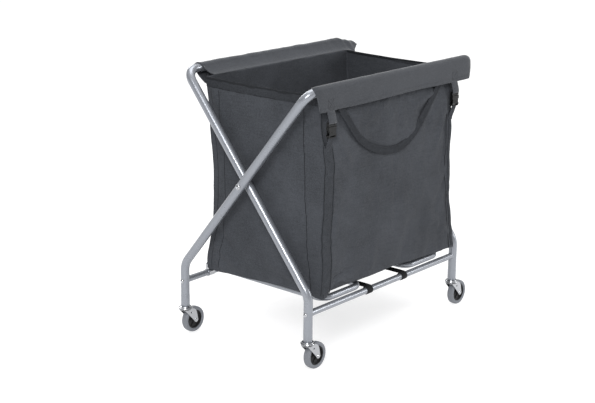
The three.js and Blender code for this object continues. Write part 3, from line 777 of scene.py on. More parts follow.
def casters():
    turning = {"fork": (caster_fork, (0, 0, 0)), "axle": (riveted_axle, (trail, 0, wheel_z))}
    for spec in FRAMES:
        for end, sign in ENDS:
            corner = f"{spec['rail']}_{end}"
            at = np.array([sign * spec["half"], spec["leg"] * leg_half, 0.0])
            stem = build(f"caster_race_cup_{corner}", *moved(caster_stem(), at), zinc, 34)
            show(stem, spec["body"], "zinc_steel", f"caster_stem_{corner}")
            for part, (shape, offset) in turning.items():
                made = build(f"caster_{part}_pressed_{corner}", *moved(shape(), at + offset), zinc, 34)
                if part == "fork":
                    bevel(made, 0.7, 3, 50)
                show(made, f"fork_{corner}", "zinc_steel", f"caster_{part}_{corner}")
            wheel = at + (trail, 0, wheel_z)
            hub = build(f"wheel_hub_ribbed_{corner}", *moved(wheel_hub(), wheel), hub_plastic, 34)
            show(hub, f"wheel_{corner}", "hub_plastic", f"wheel_hub_{corner}")
            made = build(f"tyre_crowned_{corner}", *moved(tyre(), wheel), tyre_rubber, 50)
            show(made, f"wheel_{corner}", "tyre_rubber", f"tyre_{corner}")


# ---------- bottom loops, clips and spread straps ----------
loop_inner_x = mid_x - loop_high.x + loop_radius
loop_outer_x = mid_x - loop_low.x - loop_radius
loop_front_y = loop_low.y - mid_y + loop_radius
loop_back_y = loop_high.y - mid_y
loop_bend_radius = 36
spread_strap_x = 97


def bottom_loops():
    for end, sign in ENDS:
        corners = [(sign * x, y, loop_z) for x, y in (
            (loop_inner_x, loop_back_y), (loop_inner_x, loop_front_y), (loop_outer_x, loop_front_y),
            (loop_outer_x, loop_back_y))]
        path = bent_path(corners, (loop_bend_radius, loop_bend_radius), 14)
        made = build(f"bottom_loop_tube_{end}", *skin(sweep(path, circle(loop_radius, 32))),
                     frame_paint)
        show(made, "bottom_support", "frame_paint", f"bottom_loop_{end}")


def finish_cad_nodes():
    """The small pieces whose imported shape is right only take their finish."""
    finishes = {"loop_clip": zinc, "pivot_nut": zinc, "rail_plug": zinc, "pivot_spacer": nylon}
    for name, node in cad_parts.items():
        for word, finish in finishes.items():
            if word in name:
                node.data.materials.clear()
                node.data.materials.append(finish)
                bevel(node, 0.3, 2, 45)


for spec in FRAMES:
    frame_tube(spec)
    lower_rail(spec)
bolts()
casters()
bottom_loops()
finish_cad_nodes()


# ---------- the bag's shape ----------
bag_bottom, bag_top = bag_low.z, bag_high.z
rim_front, rim_back = -(top_half - 18), top_half - 55
front_strap_x = (-353, 318)
back_strap_x = (-299, 340)
strap_width = 44


def smooth(value, low, high):
    t = np.clip((np.asarray(value, float) - low) / (high - low), 0, 1)
    return t * t * (3 - 2 * t)


def through(value, knots):
    """A smooth line through (place, amount) knots."""
    places, amounts = zip(*knots)
    value = np.clip(np.asarray(value, float), places[0], places[-1])
    k = np.clip(np.searchsorted(places, value, side="right") - 1, 0, len(places) - 2)
    places, amounts = np.array(places, float), np.array(amounts, float)
    slopes = np.gradient(amounts, places)
    gap = places[k + 1] - places[k]
    t = (value - places[k]) / gap
    return ((2 * t ** 3 - 3 * t ** 2 + 1) * amounts[k] + (t ** 3 - 2 * t ** 2 + t) * gap * slopes[k]
            + (3 * t ** 2 - 2 * t ** 3) * amounts[k + 1] + (t ** 3 - t ** 2) * gap * slopes[k + 1])


def fold_line(x, z, start, end, width, depth):
    """A soft crease from start to end that fades out towards its ends."""
    start, end = np.array(start, float), np.array(end, float)
    run = end - start
    length = np.hypot(*run)
    along = ((x - start[0]) * run[0] + (z - start[1]) * run[1]) / length
    across = ((z - start[1]) * run[0] - (x - start[0]) * run[1]) / length
    fade = smooth(along, -0.1 * length, 0.15 * length) * (1 - smooth(along, 0.7 * length, 1.1 * length))
    return depth * fade * np.exp(-(across / width) ** 2)


def folds(a, b, lines):
    """Several creases together, each (start, end, width, depth)."""
    return sum(fold_line(a, b, *line) for line in lines)


def rumple(x, z, scale, depth, seed):
    """Soft uneven swell of hanging cloth."""
    x, z = np.broadcast_arrays(np.asarray(x, float), np.asarray(z, float))
    spots = [noise.noise(Vector((a * scale, b * scale * 0.7, seed)))
             for a, b in zip(x.ravel(), z.ravel())]
    return depth * np.array(spots).reshape(x.shape)


FRONT_CREASES = (
    ((-22, 690), (14, 255), 6, 1.4), ((-300, 845), (-90, 770), 10, -5.0),
                 ((-300, 815), (-170, 700), 12, 4.4),
    ((-318, 780), (-230, 640), 13, -4.0), ((-40, 838), (-190, 775), 9, -3.2),
                 ((40, 838), (150, 770), 10, 3.0),
    ((235, 845), (70, 780), 12, -4.6), ((262, 830), (150, 700), 12, 4.2),
                 ((285, 800), (215, 610), 13, -4.6),
    ((300, 740), (262, 520), 13, 4.2), ((330, 560), (230, 400), 22, 3.6),
                 ((350, 300), (180, 400), 18, -4.0),
    ((-320, 268), (-170, 330), 14, 4.0), ((-330, 640), (-200, 540), 20, 3.6),
                 ((-330, 500), (-180, 440), 18, -3.0),
    ((60, 262), (90, 430), 22, 3.2), ((-125, 262), (-90, 400), 18, -3.0),
                 ((-330, 400), (-140, 350), 24, 2.6))
BACK_CREASES = (
    ((-300, 800), (-180, 560), 16, -3), ((330, 780), (200, 520), 18, -3),
                ((-260, 280), (-60, 420), 20, 3),
    ((280, 300), (80, 430), 22, 3), ((-40, 830), (10, 520), 15, 2.5))
LEFT_CREASES = (
    ((205, 340), (60, 255), 14, 5.0), ((205, 420), (80, 300), 13, -4.6),
                ((190, 300), (150, 245), 9, 4.0),
    ((-200, 262), (-40, 330), 16, 4.2), ((-190, 810), (-60, 640), 20, 3.6),
                ((-200, 560), (-120, 470), 16, 3.0),
    ((195, 860), (100, 690), 18, 3.8), ((-120, 420), (-10, 520), 22, 2.8))
RIGHT_CREASES = (
    ((-240, 760), (40, 620), 26, -5), ((-230, 560), (30, 430), 30, -5), ((-240, 860), (80, 800), 18, 3),
    ((-200, 330), (60, 280), 22, 4))


def front_wall(x, z):
    """How far forward (-Y) the front wall stands at (x, z)."""
    base = through(z, [(bag_bottom, -282), (290, -284), (400, -286), (600, -288),
                       (760, -286), (830, -280), (870, -268), (bag_top, rim_front)])
    bulge = 4.5 * np.cos(np.clip(x / 372, -1, 1) * math.pi / 2) * smooth(z, 240, 420)
    near_left = np.exp(-((x + 372) / 26) ** 2) * smooth(z, 690, 800)
    base = base - bulge + 13 * near_left
    x = np.maximum(x, front_strap_x[0] + strap_width / 2)  # the cloth lies flat under the left strap
    tight = smooth(z, 700, 830) + smooth(-x, 250, 330) + smooth(x, 210, 290)
    creases = folds(x, z, FRONT_CREASES) + np.clip(tight, 0, 1) * rumple(x, z, 0.045, 2.2, 17.7)
    return base + 1.5 * creases + rumple(x, z, 0.011, 6.0, 3.1) + rumple(x, z, 0.027, 2.8, 8.7)


def back_wall(x, z):
    """How far back (+Y) the back wall stands: drawn in at the middle, out at the bottom."""
    base = through(z,
                   [(bag_bottom, 231), (268, 227), (320, 214), (400, 199), (600, 191), (700, 202),
                    (800, 214),
                       (bag_top, rim_back)])
    return base + folds(x, z, BACK_CREASES) + rumple(x, z, 0.012, 4.0, 21.3) + rumple(x, z, 0.03,
                                                                                      1.3, 5.2)


def left_wall(y, z):
    """Where the left wall stands along X: nearly flat, puckered beside the wrap seam."""
    base = through(z, [(bag_bottom, -368), (300, -373), (560, -374), (800, -373), (bag_top, -372)])
    pucker = smooth(-y, 196, 214) * (1 - smooth(-y, 262, 280))
    creases = folds(y, z, LEFT_CREASES) + pucker * rumple(y * 0.35, z * 1.6, 0.045, 2.4, 27.1)
    return base - 1.4 * creases - rumple(y, z, 0.012, 4.5, 11.9) - rumple(y, z, 0.028, 2.4, 2.2)


def right_wall(y, z):
    """The right end is drawn in towards the front buckle and flares out at the bottom."""
    drawn = through(z, [(bag_bottom, 378), (305, 360), (384, 341), (460, 329), (538, 323), (607, 318),
                        (690, 318), (790, 326), (860, 346), (bag_top, 362)])
    at_front = 1 - smooth(y, -290, 120)
    base = at_front * drawn + (1 - at_front) * 369
    return base + folds(y, z, RIGHT_CREASES) + rumple(y, z, 0.012, 4.0, 15.5)


bag_rows = np.unique(np.concatenate([np.linspace(bag_bottom, bag_bottom + 18, 5),
                                     np.linspace(bag_bottom + 18, bag_top - 12, 104),
                                     np.linspace(bag_top - 12, bag_top, 4)]))
corner_round = 7
cloth_thickness, cuff_thickness = 1.2, 1.3
front_flap_z, back_flap_z = 854.0, 862.0
back_flap_in = 21
front_steps, end_steps, corner_steps = 128, 84, 7


def bag_ring(z):
    """One level of the bag: four walls and four rounded corners."""
    walls = ((front_wall, 1, front_steps), (right_wall, 0, end_steps),
             (back_wall, 1, front_steps), (left_wall, 0, end_steps))
    corners = np.array([[float(a), float(b)] for a, b in (
        (left_wall(-282, z), front_wall(-372, z)), (right_wall(-282, z), front_wall(345, z)),
        (right_wall(205, z), back_wall(370, z)), (left_wall(215, z), back_wall(-372, z)))])
    points = []
    for k, (wall, axis, steps) in enumerate(walls):
        start, end, after = (corners[(k + n) % 4] for n in range(3))
        run, turn_out = unit(end - start), unit(after - end)
        share = np.linspace(0, 1, steps)
        line = np.array([start + run * corner_round + (end - start - 2 * corner_round * run) * s
                         for s in share])
        ease = smooth(share, 0, 0.06) * (1 - smooth(share, 0.94, 1))
        line[:, axis] += (wall(line[:, 1 - axis], z) - line[:, axis]) * ease
        points += list(line)
        centre = end - run * corner_round + turn_out * corner_round
        for a in np.linspace(0, 1, corner_steps + 2)[1:-1]:
            b = a * math.pi / 2
            back, ahead = corner_round * math.cos(b), corner_round * math.sin(b)
            points.append(centre - turn_out * back + run * ahead)
    return np.array([(x, y, z) for x, y in points])


ring_size = 2 * (front_steps + end_steps + 2 * corner_steps)


def hem_lift(points):
    """The lower edge rises between the corner points that the straps pull down."""
    x, y = points[:, 0], points[:, 1]
    front = through(x, [(-385, 0), (-368, 1), (-340, 4), (-326, 20), (-207, 22), (-127, 19), (29, 19),
                        (140, 14), (248, 8), (345, 7), (385, 2)])
    front = front * smooth(-y, 225, 262)
    left = through(y, [(-290, 0), (-236, 13), (-190, 9), (-60, 5), (52, -1), (130, -6), (169, -8),
                       (205, -8), (225, -6)]) * smooth(-x, 330, 366)
    near_front = smooth(-y, 225, 262)
    return front + left * (1 - near_front)


def bag_levels():
    """The four walls as rings from the lower edge to the rim."""
    rings = [bag_ring(z) for z in bag_rows]
    for ring, z in zip(rings, bag_rows):
        ring[:, 2] += hem_lift(ring) * (1 - smooth(z, bag_bottom, bag_bottom + 90))
        sag = 4 * np.cos(np.clip(ring[:, 1] / 230, -1, 1) * math.pi / 2)
        ring[:, 2] -= sag * smooth(z, bag_top - 120, bag_top) * (abs(ring[:, 0]) > 340)
    return rings


wall_rings = bag_levels()


def flatten(made):
    """Gives the piece a mesh of its own."""
    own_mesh(made)


def wall_spot(side, z, lift, x=None, y=None):
    """A point on a wall, lifted outward."""
    if side == "front":
        return np.array([x, float(front_wall(x, z)) - lift, z])
    if side == "back":
        return np.array([x, float(back_wall(x, z)) + lift, z])
    if side == "left":
        return np.array([float(left_wall(y, z)) - lift, y, z])
    return np.array([float(right_wall(y, z)) + lift, y, z])


def ribbon(name, path, width, thickness, finish, side, radius=0.5):
    """A flat band along a path; side is the direction across its width at the start."""
    section = rounded_bar(width, thickness, min(radius, thickness / 2 - 0.05), 2)
    return build(name, *skin(sweep(path, section, side=side)), finish, 60)


def stitches(name, lines, pitch, length, radius=0.32):
    """Rows of thread stitches. Each line is a list of points on the cloth, already lifted."""
    parts, tapers = [], (0.35, 1, 1, 0.35)
    for line in lines:
        line = np.asarray(line, float)
        travel = travelled(line)
        for start in np.arange(pitch / 2, travel[-1] - length, pitch):
            spots = [np.array([np.interp(start + d, travel, line[:, k]) for k in range(3)])
                     for d in (0, 0.2 * length, 0.8 * length, length)]
            parts.append(skin([[spot + (np.asarray(p) - spot) * taper for p in ring] for ring,
                               spot, taper
                               in zip(sweep(spots, circle(radius, 5)), spots, tapers)]))
    return build(name, *weld(parts), thread, 60)


def bag():
    """The walls as one sheet sewn into a ring."""
    walls = build("bag_walls", *skin(wall_rings, ends=False), bag_cloth, 70)
    thicken(walls, cloth_thickness)
    attach("bag", "bag_fabric", walls)
    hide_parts("bag")
    return walls


def floor_panel():
    """The bottom of the bag, a sheet that hangs slack between the loops' tubes."""
    across, along = np.meshgrid(np.linspace(0, 1, 97), np.linspace(0, 1, 65))
    seam = 0.9
    flat_y = -280 + along * 508
    left, right = left_wall(flat_y, bag_bottom) + seam, right_wall(flat_y, bag_bottom) - seam
    x = left + (right - left) * across
    front, back = front_wall(x, bag_bottom) + seam, back_wall(x, bag_bottom) - seam
    y = front + (back - front) * along
    to_edge = np.minimum(np.minimum(x - left, right - x), np.minimum(y - front, back - y))
    lift = hem_lift(np.column_stack([x.ravel(), y.ravel()])).reshape(x.shape)
    edge = np.column_stack([np.where(x < 0, left, right).ravel(), y.ravel()])
    lift = np.where(x - left < y - front, hem_lift(edge).reshape(x.shape), lift)
    arms = sum(np.exp(-((abs(x) - at) / 20) ** 2) for at in (loop_inner_x, loop_outer_x))
    sag = 3 * np.sin(along * math.pi) * (1 - np.clip(arms, 0, 1))
    inner = bag_bottom + 2.5 - sag + rumple(x, y, 0.014, 2.0, 31.0)
    rim = bag_bottom + 3 + lift
    z = rim + (inner - rim) * smooth(to_edge, 0, 34)
    rings = [list(zip(a, b, c)) for a, b, c in zip(x, y, z)]
    made = build("bag_floor_panel", *skin(rings, ends=False, ring_closed=False), bag_cloth, 70)
    thicken(made, cloth_thickness)
    attach("bottom_support", "bag_fabric", made)


def bag_trim():
    """Rim binding, hems, wrap seams, edge seams and front corner piping on the walls."""
    pieces = []

    def on_ring(index, k, lift):
        ring = wall_rings[k]
        before, after = ring[(index - 1) % ring_size], ring[(index + 1) % ring_size]
        out = unit((after[1] - before[1], before[0] - after[0], 0))
        return ring[index] + out * lift

    def level(z):
        return int(np.argmin(np.abs(bag_rows - z)))

    def column(index, low, high, lift):
        return [on_ring(index, k, lift) for k in range(level(low), level(high) + 1)]

    def around(z, lift, indices):
        return [on_ring(i % ring_size, level(z), lift) for i in indices]

    right_start = front_steps + corner_steps
    left_start = 2 * right_start + end_steps + corner_steps
    for name, start in (("right", right_start), ("left", left_start)):
        span = range(start - 3, start + end_steps + 3)
        pieces += [
            swept(f"rim_binding_{name}", np.array(around(bag_top, 0, span)) - (0, 0, 3),
                  rounded_bar(4.2, 9, 1.8, 2), X, binding_tape),
            stitches(f"hem_stitching_{name}",
                     [around(bag_top - drop, 0.75, span) for drop in (27, 31)], 5.5, 3.8),
            ribbon(f"rim_hem_{name}", around(bag_top - 16, 0.9, span), 26, 0.9, hem_cloth, Z, 0.4),
            ribbon(f"rim_hem_edge_{name}", around(bag_top - 29, 0.6, span), 2.6, 1.0, binding_tape, Z)]

    wrap = [(bag_bottom, -240), (296, -237), (557, -214), (845, -205), (bag_top, -204)]
    for side, outward in (("left", -0.3), ("right", 0.3)):
        line = [wall_spot(side, z, 0.5, y=float(through(z, wrap)))
                for z in np.linspace(bag_bottom + 8, bag_top - 33, 60)]
        pieces += [ribbon(f"wrap_seam_{side}_fold", line, 2.6, 1.3, binding_tape, Y),
                   stitches(f"wrap_seam_{side}_stitching",
                            [[p + (0, -5, 0) + (outward, 0, 0) for p in line]],
                            5.2, 3.4)]
    cross = [wall_spot("left", 806 - (y + 206) * 0.02, 0.9, y=y) for y in np.linspace(-206, -268, 14)]
    pieces.append(stitches("wrap_cross_stitching", [cross], 5.2, 3.6))
    right_stop = right_start + end_steps
    for name, index in (("back_left_a", left_start + 3), ("back_left_b", left_start + 9),
                        ("back_right_a", right_stop - 4), ("back_right_b", right_stop - 10)):
        line = column(index, bag_bottom + 8, bag_top - 34, 0.4)
        pieces.append(ribbon(f"edge_seam_{name}", line, 2.2, 0.9, binding_tape, Y, 0.4))
    for name, index in (("left", 0), ("right", front_steps - 1)):
        line = column(index, bag_bottom + 6, bag_top - 34, 0.6)
        pieces.append(ribbon(f"front_corner_piping_{name}", line, 2.4, 1.4, binding_tape, X, 0.6))
    attach("bag", "bag_fabric", *pieces)
    for made in pieces:
        flatten(made)
    return pieces


def corner_strap(name, low, high):
    """The front right strap lies round the bag's corner, part on the front and part on the end."""
    before, past = 40, 24  # wall points taken on either side of the corner
    first, last = front_steps - before, front_steps + corner_steps + past
    rings = []
    for ring, z in zip(wall_rings, bag_rows):
        if not low <= z <= high:
            continue
        points = ring[first:last]
        travel = travelled(points[:, :2])
        travel -= travel[before + corner_steps // 2]
        spots = np.column_stack([np.interp(np.linspace(-16, 22, 15), travel, points[:, k])
                                 for k in range(3)])
        along = np.gradient(spots[:, :2], axis=0)
        out = np.column_stack([along[:, 1], -along[:, 0], 0 * along[:, 0]])
        rings.append(spots + 1.6 * out / np.linalg.norm(out, axis=1)[:, None])
    made = build(name, *skin(rings, ends=False, ring_closed=False), webbing, 60)
    thicken(made, 1.6)
    return made


def bag_straps():
    """Vertical webbing sewn to the long walls, from the bottom edge up to each buckle."""
    made = []
    for row, xs, out, body in (("front", front_strap_x, -1, "bag"),
                               ("back", back_strap_x, 1, "back_cuff")):
        for (end, _), x in zip(ENDS, xs):
            where = f"{row}_{end}"
            round_corner, short = where == "front_right", where == "front_left"
            foot, head = size_of(f"buckle_female_{where}")
            top, low = foot.z, bag_bottom + (17 if short else 7)
            path = [wall_spot(row, z, 1.5, x=float(right_wall(-282, z)) - 9 if round_corner else x)
                    for z in np.linspace(low, top - 26, 46)]
            buckle_y = (foot.y + head.y) / 2 - mid_y
            last = np.array([x, buckle_y, top + 3.0])
            mid = np.array([x, (path[-1][1] + buckle_y) / 2 + out * 0.5, (path[-1][2] + top) / 2])
            if round_corner:
                sewn = corner_strap(f"bag_strap_{where}", low, top - 26)
            else:
                sewn = ribbon(f"bag_strap_{where}", path, strap_width, 1.8, webbing, X, 0.8)
            free_path = [path[-3] + (0, out * 1.2, 0), path[-2] + (0, out * 1.2, 0), mid,
                         last - (0, 0, 4), last]
            free = ribbon(f"buckle_strap_{where}", free_path, 25, 1.7, webbing, X, 0.8)
            sides = (-1,) if round_corner else (-1, 1)
            edges = [[p + (side * (strap_width / 2 - 3), out * 1.05, 0) for p in path]
                     for side in sides]
            threads = stitches(f"bag_strap_stitching_{where}", edges, 5.5, 3.6)
            # painted shade: dark binding-tape bands along the sewn strap's edges stand in for the shade
            # where the strap meets the wall
            edge_shades = build(f"bag_strap_edge_shade_{where}", *weld(
                [skin(sweep(np.array(line) + (side * 3.4, 0, 0), rounded_bar(1.8, 1.4, 0.5, 2), side=X))
                 for side, line in zip(sides, edges)]), binding_tape, 60)
            attach("bag", "webbing", sewn, edge_shades, threads)
            for piece in (sewn, edge_shades, threads):
                flatten(piece)
            attach(body, "webbing", free)
            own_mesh(free)
            made += [sewn, free, edge_shades, threads]
    return made


# ---------- cuffs ----------
def rail_bend(x, half):
    """How far the top rail has dropped along its diagonal at x, past the straight part."""
    past = np.clip(abs(x) - (half - top_bend_radius), 0, top_bend_radius * 0.96)
    return top_bend_radius - math.sqrt(top_bend_radius ** 2 - past ** 2)


diagonal = unit((0, top_half + leg_half, bend_z - top_z))


def cuff(name, left, right, section_at, steps_long, steps_round):
    """A sheet laid over a rail. Its ends follow two lines of (share of the section, x); the section
    gives (y, z) at a share of the section and an x, and how far it drops with the rail's bend."""
    rings = []
    for u in np.linspace(0, 1, steps_long):
        ring = []
        for v in np.linspace(0, 1, steps_round):
            start, end = through(v, left), through(v, right)
            x = float(start + (end - start) * u)
            y, z, drop = section_at(v, x)
            ring.append(np.array([x, y, z]) + drop)
        rings.append(ring)
    made = build(name, *skin(rings, ends=False, ring_closed=False), cuff_cloth, 70)
    thicken(made, cuff_thickness)
    return made, np.array(rings)


def on_rail(centre, radius, a):
    """A place on a round of cloth about a top rail."""
    return np.array([centre + radius * math.cos(a), top_z + radius * math.sin(a)])


def front_cuff():
    """From the bag's rim over the front rail and down outside as a flap."""
    radius, lie = 16.6, 0.05
    over, down = 0.16, 0.58  # shares of the section where the cloth meets and leaves the rail
    flap_end = np.array([-top_half - 19.4, front_flap_z])

    def section(v, x):
        rim = np.array([rim_front, bag_top])
        if v < over:
            y, z = rim + (on_rail(-top_half, radius, 2 * lie) - rim) * smooth(v / over, -0.6, 1.0)
        elif v < down:
            y, z = on_rail(-top_half, radius, 2 * lie + (v - over) / 0.42 * (math.pi - lie))
        else:
            s = (v - down) / 0.42
            start = on_rail(-top_half, radius, math.pi + lie)
            y, z = start + (flap_end - start) * s
            loose = s * s
            y += loose * (1.6 * math.sin(x / 61) * 0.5 + 1.5 * math.sin(x / 23 + 1.3) * 0.25)
            y += loose * float(rumple(x, z, 0.016, 2.6, 44.4))
            pulls = sum(math.exp(-((x - at) / 34) ** 2) for at in front_strap_x)
            z += s * (1.3 * math.sin(x / 90 + 0.7) * (1 - min(1, pulls)) - 1.6 * pulls)
        swell = float(rumple(x, z + y, 0.02, 1.1, 6.0))
        y, z = y - abs(swell) * 0.4 * math.sin(v * math.pi), z + swell * 0.5 * math.sin(v * math.pi)
        return y, z, diagonal * (rail_bend(x, outer_half) * (1 - smooth(v, 0.5, 0.9)))

    flap, rings = cuff("front_cuff_flap",
                       [(0, -376), (over, -398), (0.45, -421), (0.62, -417), (1, -409)],
                       [(0, 372), (over, 396), (0.45, 420), (0.62, 418), (1, 407)], section, 150, 42)
    sewn = stitches("front_flap_hem_stitching", [[ring[-4] + (0, -1.0, 0.0) for ring in rings]],
                    5.5, 3.6)
    hem = swept("front_flap_hem_roll", [ring[-1] + (0, 0.2, 0) for ring in rings],
                rounded_bar(2.6, 3.4, 1.2), Y, cuff_cloth)
    rolls = [swept(f"front_flap_side_roll_{name}", [p + (0, 0.1, 0) for p in rings[k][2:-1]],
                   rounded_bar(2.6, 3.2, 1.2), X, cuff_cloth)
             for name, k in (("left", 0), ("right", -1))]
    attach("bag", "bag_fabric", flap, sewn, hem, *rolls)
    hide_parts("front_cuff")
    return rings


def back_cuff():
    """Over the back rail with its flap drawn in under it; the far end is bunched and slack."""
    radius = 17.0
    over, down = 0.22, 0.7  # shares of the section where the cloth meets and leaves the rail
    flap_end = np.array([top_half - back_flap_in, back_flap_z])

    def section(v, x):
        rim = np.array([rim_back, bag_top])
        if v < over:
            s = v / over
            y, z = rim + (on_rail(top_half, radius, math.pi - 0.45) - rim) * s
            z -= 5 * math.sin(s * math.pi)
        elif v < down:
            y, z = on_rail(top_half, radius, math.pi - 0.45 - (v - over) / 0.48 * (math.pi + 0.1))
        else:
            s = (v - down) / 0.3
            start = on_rail(top_half, radius, -0.55)
            y, z = start + (flap_end - start) * s
            y += 4 * math.sin(s * math.pi)
            y += s * 1.8 * math.sin(x / 37) + float(rumple(x, z, 0.02, 3.0, 14.4)) * s
        slack, tuck = float(smooth(x, 330, 440)), float(smooth(x, 450, 492))
        puckers = math.sin(x / 8.5 + v * 5 + 2 * math.sin(x / 31)) * slack
        out = np.array([y - top_half, z - top_z])
        out = out / max(1e-6, np.hypot(*out))
        puff = 1.4 * float(rumple(x, v * 160, 0.03, 1.0,
                                  9.9)) + 2.4 * puckers + 6.0 * slack - 9.0 * tuck
        y, z = y + out[0] * puff, z + out[1] * puff
        past = max(0.0, x - inner_half + top_bend_radius)
        z -= 0.0028 * max(0.0, x - inner_half) ** 2 + 0.06 * past * slack
        return y, z, diagonal * (1, -1, 1) * rail_bend(min(x, inner_half + 2), inner_half) * 0.45

    sleeve, rings = cuff("back_cuff_sleeve",
                         [(0, -330), (0.2, -344), (0.5, -354), (0.8, -346), (1, -337)],
                         [(0, 372), (0.2, 452), (0.5, 487), (0.8, 478), (1, 425)], section, 170, 46)
    sewn = stitches("back_flap_hem_stitching", [[ring[-4] + (0, 0.9, -0.6) for ring in rings]],
                    5.5, 3.6)
    rolls = [swept(f"back_cuff_edge_roll_{name}", rings[k][2:-1], rounded_bar(3.0, 3.4, 1.3), X,
                   cuff_cloth) for name, k in (("left", 0), ("right", -1))]
    attach("back_cuff", "bag_fabric", sleeve, sewn, *rolls)
    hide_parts("back_cuff")


# ---------- buckles and their tabs ----------
def buckle_centre(where):
    """The middle of a buckle, at the top of its upper half."""
    low, high = size_of(f"buckle_male_{where}")
    return np.array([(low.x + high.x) / 2 - mid_x, (low.y + high.y) / 2 - mid_y, high.z])


def slot_hole(centre_z, width=26, height=4.4):
    return [(-width / 2, centre_z - height / 2), (-width / 2, centre_z + height / 2),
            (width / 2, centre_z + height / 2), (width / 2, centre_z - height / 2)]


def male_half():
    bar = plate([(-19, -12.5), (-17.5, -14), (17.5, -14), (19, -12.5), (19, -2), (17, 0), (-17, 0),
                 (-19, -2)],
                -4.6, 4.6, (slot_hole(-6),))
    prongs = [plate([(side * x, z)
                     for x, z in ((6.5, -13), (13.6, -13), (13.9, -22), (13.9, -29), (12.6, -33),
                     (10.8, -37.4), (8.6, -37.6), (8.2, -34), (8.0, -24), (6.5, -21))], -2.8, 2.8)
              for side in (-1, 1)]
    guide = plate([(-2.8, -13), (2.8, -13), (2.8, -33), (1.6, -35), (-1.6, -35), (-2.8, -33)],
                  -2.6, 2.6)
    return weld([bar, *prongs, guide])


def female_half():
    """A box with open side windows; the prongs show through them."""
    top, low = -14.4, -50.2
    outline = [(-18.6, top), (-18.9, top - 10.5), (-15.6, top - 12.2), (-15.6, top - 24.2),
               (-18.9, top - 26),
               (-18.9, low + 6), (-16, low + 1.4), (-12.5, low), (12.5, low), (16, low + 1.4),
               (18.9, low + 6),
               (18.9, top - 26), (15.6, top - 24.2), (15.6, top - 12.2), (18.9, top - 10.5),
               (18.6, top)]
    faces = [plate(outline, a, b, (slot_hole(low + 5),)) for a, b in ((-6, -3.6), (3.6, 6))]
    closed_low = plate([(-18.6, top - 26.5), (-18.6, low + 6), (-15.8, low + 1.8), (-12.5, low + 0.4),
                        (12.5, low + 0.4), (15.8, low + 1.8), (18.6, low + 6), (18.6, top - 26.5)],
                       -3.7, 3.7, (slot_hole(low + 5),))
    window = (15.9, top), (18.5, top), (18.8, top - 10.3), (15.9, top - 12)
    cheeks = [plate([(side * a, z) for a, z in window],
                    -3.7, 3.7) for side in (-1, 1)]
    ridge = [plate([(-7, top - 15 - 3.2 * k), (7, top - 15 - 3.2 * k), (7, top - 16.3 - 3.2 * k),
                    (-7, top - 16.3 - 3.2 * k)], side * 5.9 - 0.45, side * 5.9 + 0.45)
             for k in range(3) for side in (-1, 1)]
    return weld([*faces, closed_low, *cheeks, *ridge])


def buckles():
    for where in BUCKLE_PLACES:
        centre = buckle_centre(where)
        male = build(f"buckle_prongs_{where}", *moved(male_half(), centre), buckle_plastic, 34)
        bevel(male, 0.6, 2, 40)
        show(male, "bag" if "front" in where else "back_cuff", "buckle_plastic", f"buckle_male_{where}")
        female = build(f"buckle_socket_{where}", *moved(female_half(), centre), buckle_plastic, 34)
        bevel(female, 0.7, 2, 40)
        show(female, f"buckle_{where}", "buckle_plastic", f"buckle_female_{where}")


def tabs(flap_rings):
    """A tab sewn under the flap, with its box stitching showing, folded through the buckle's bar."""
    for where in BUCKLE_PLACES:
        x, y, top = buckle_centre(where)
        front = "front" in where
        out = -1 if front else 1
        hem = front_flap_z if front else back_flap_z
        body = "bag" if front else "back_cuff"
        if front:
            lay = [np.array([x, y + 4.6, hem + rise]) for rise in (18, 10, 2)]
        else:
            lay = [np.array([x, top_half - back_flap_in + 3.4 + 14 * smooth(z, hem, hem + 42), z])
                   for z in np.linspace(hem + 30, hem - 6, 8)]
        outer = lay + [np.array([x, y + out * aside, top + rise])
                       for aside, rise in ((3.2, 14), (5.6, 1), (5.4, -4.2), (2.5, -6.2))]
        inner = [np.array([x, y - out * 0.4, hem - 10])]
        inner += [np.array([x, y - out * aside, top + rise])
                  for aside, rise in ((3.0, 12), (5.6, 1), (5.2, -4.4), (-1.5, -6.4))]
        attach(body, "webbing", ribbon(f"tab_outer_{where}", outer, 36, 1.6, cuff_cloth, X, 0.7),
               ribbon(f"tab_inner_{where}", inner, 25, 1.5, webbing, X, 0.6))
        if front:
            def on_flap(u, v):
                ring = flap_rings[int(np.argmin(np.abs(flap_rings[:, -4, 0] - x - u)))][-16:]
                return np.array([x + u, np.interp(hem + v, ring[::-1, 2], ring[::-1, 1]) - 0.9,
                                 hem + v])
            a, b, c, d = (on_flap(u, v) for u, v in ((-14, 3), (14, 3), (14, 34), (-14, 34)))
            attach(body, "webbing",
                   stitches(f"tab_box_stitching_{where}", [[a, b, c, d, a], [a, c], [b, d]],
                                             4.4, 3.2, 0.4))


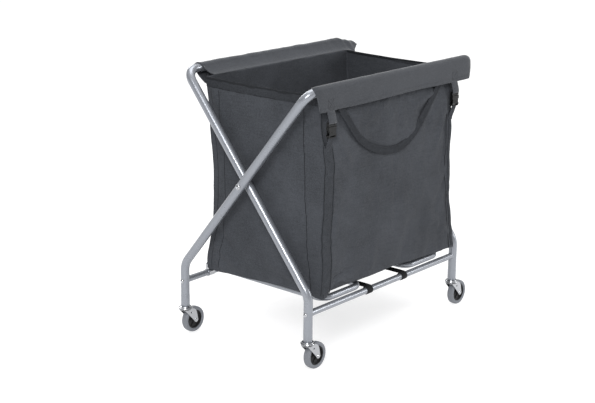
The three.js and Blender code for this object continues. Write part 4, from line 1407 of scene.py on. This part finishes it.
# ---------- handles ----------
def handle_loop(knots, y_line, name, node, body, facing):
    """A webbing loop: its band follows (x, z) knots and rolls a little as it hangs."""
    knots = np.array(knots, float)
    gaps = travelled(knots)
    travel = np.linspace(0, gaps[-1], 90)
    x, z = (through(travel, list(zip(gaps, knots[:, k]))) for k in (0, 1))
    path = np.column_stack([x, through(travel / gaps[-1], y_line), z])
    start = unit(np.cross(path[1] - path[0], (0, facing, 0)))

    def roll(t):
        return 0.25 * math.exp(-((t - 0.68) / 0.14) ** 2) * facing

    loop = build(name, *skin(sweep(path, rounded_bar(26, 2.0, 0.9), side=start, roll=roll)),
                 handle_webbing, 60)
    edges = [[p[0] for p in sweep(path, [(u, v)], side=start, roll=roll)]
             for u in (-10.5, 10.5) for v in (-1.15, 1.15)]
    attach(body, "webbing", loop, stitches(f"{name}_stitching", edges, 5.2, 3.4))
    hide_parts(node)


def handles():
    handle_loop([(-309, 874), (-291, 848), (-247, 790), (-202, 739), (-152, 706), (-95, 684),
                 (-45, 674),
                 (2, 674), (47, 687), (92, 714), (146, 763), (190, 807), (232, 848), (250, 874)],
                [(0, -285.5), (0.08, -289), (0.4, -296), (0.6, -296.5), (0.92, -289), (1, -285.5)],
                "front_carrying_handle", "front_handle", "bag", -1)
    low, high = size_of("back_handle")
    y = (low.y + high.y) / 2 - mid_y
    handle_loop([(-291, 846), (-240, 778), (-190, 727), (-140, 694), (-85, 672), (-30, 666), (30, 671),
                 (85, 692), (135, 727), (190, 782), (238, 846)],
                [(0, y), (0.5, y), (1, y)], "back_carrying_handle", "back_handle", "back_cuff", 1)


# ---------- spread straps ----------
def spread_straps():
    """Webbing looped round both lower rails, with the overlap sewn down near the front one."""
    round_rail = (rail_radius + 0.6) * 1.08
    top = rail_z + rail_radius + 1.7
    for end, sign in ENDS:
        x = sign * spread_strap_x
        wraps = [[(x, y + round_rail * math.sin(a), rail_z + round_rail * math.cos(a))
                  for a in np.linspace(0.0, turn, 30)]
                 for y, turn in ((-leg_half, 0.25 - TAU), (leg_half, TAU - 0.25))]
        span = [(x, y, top + 0.1 - 1.6 * math.cos(y / leg_half * math.pi / 2))
                for y in np.linspace(-leg_half, leg_half, 40)]
        tail = [(x, -leg_half - 2 + 62 * t, top + 1.9 + 0.4 * math.sin(t * 3))
                for t in np.linspace(0, 1, 12)]
        parts = [skin(sweep(line, rounded_bar(28, 1.8, 0.8, 2), side=X))
                 for line in (*wraps, span, tail)]
        made = build(f"spread_strap_band_{end}", *weld(parts), black_webbing, 60)
        attach("spread_straps", "webbing", made)
        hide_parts(f"spread_strap_{end}")
        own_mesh(made)


walls = bag()
trim = bag_trim()
straps = bag_straps()
flatten(walls)
floor_panel()
flap_rings = front_cuff()
back_cuff()
buckles()
tabs(flap_rings)
handles()
spread_straps()
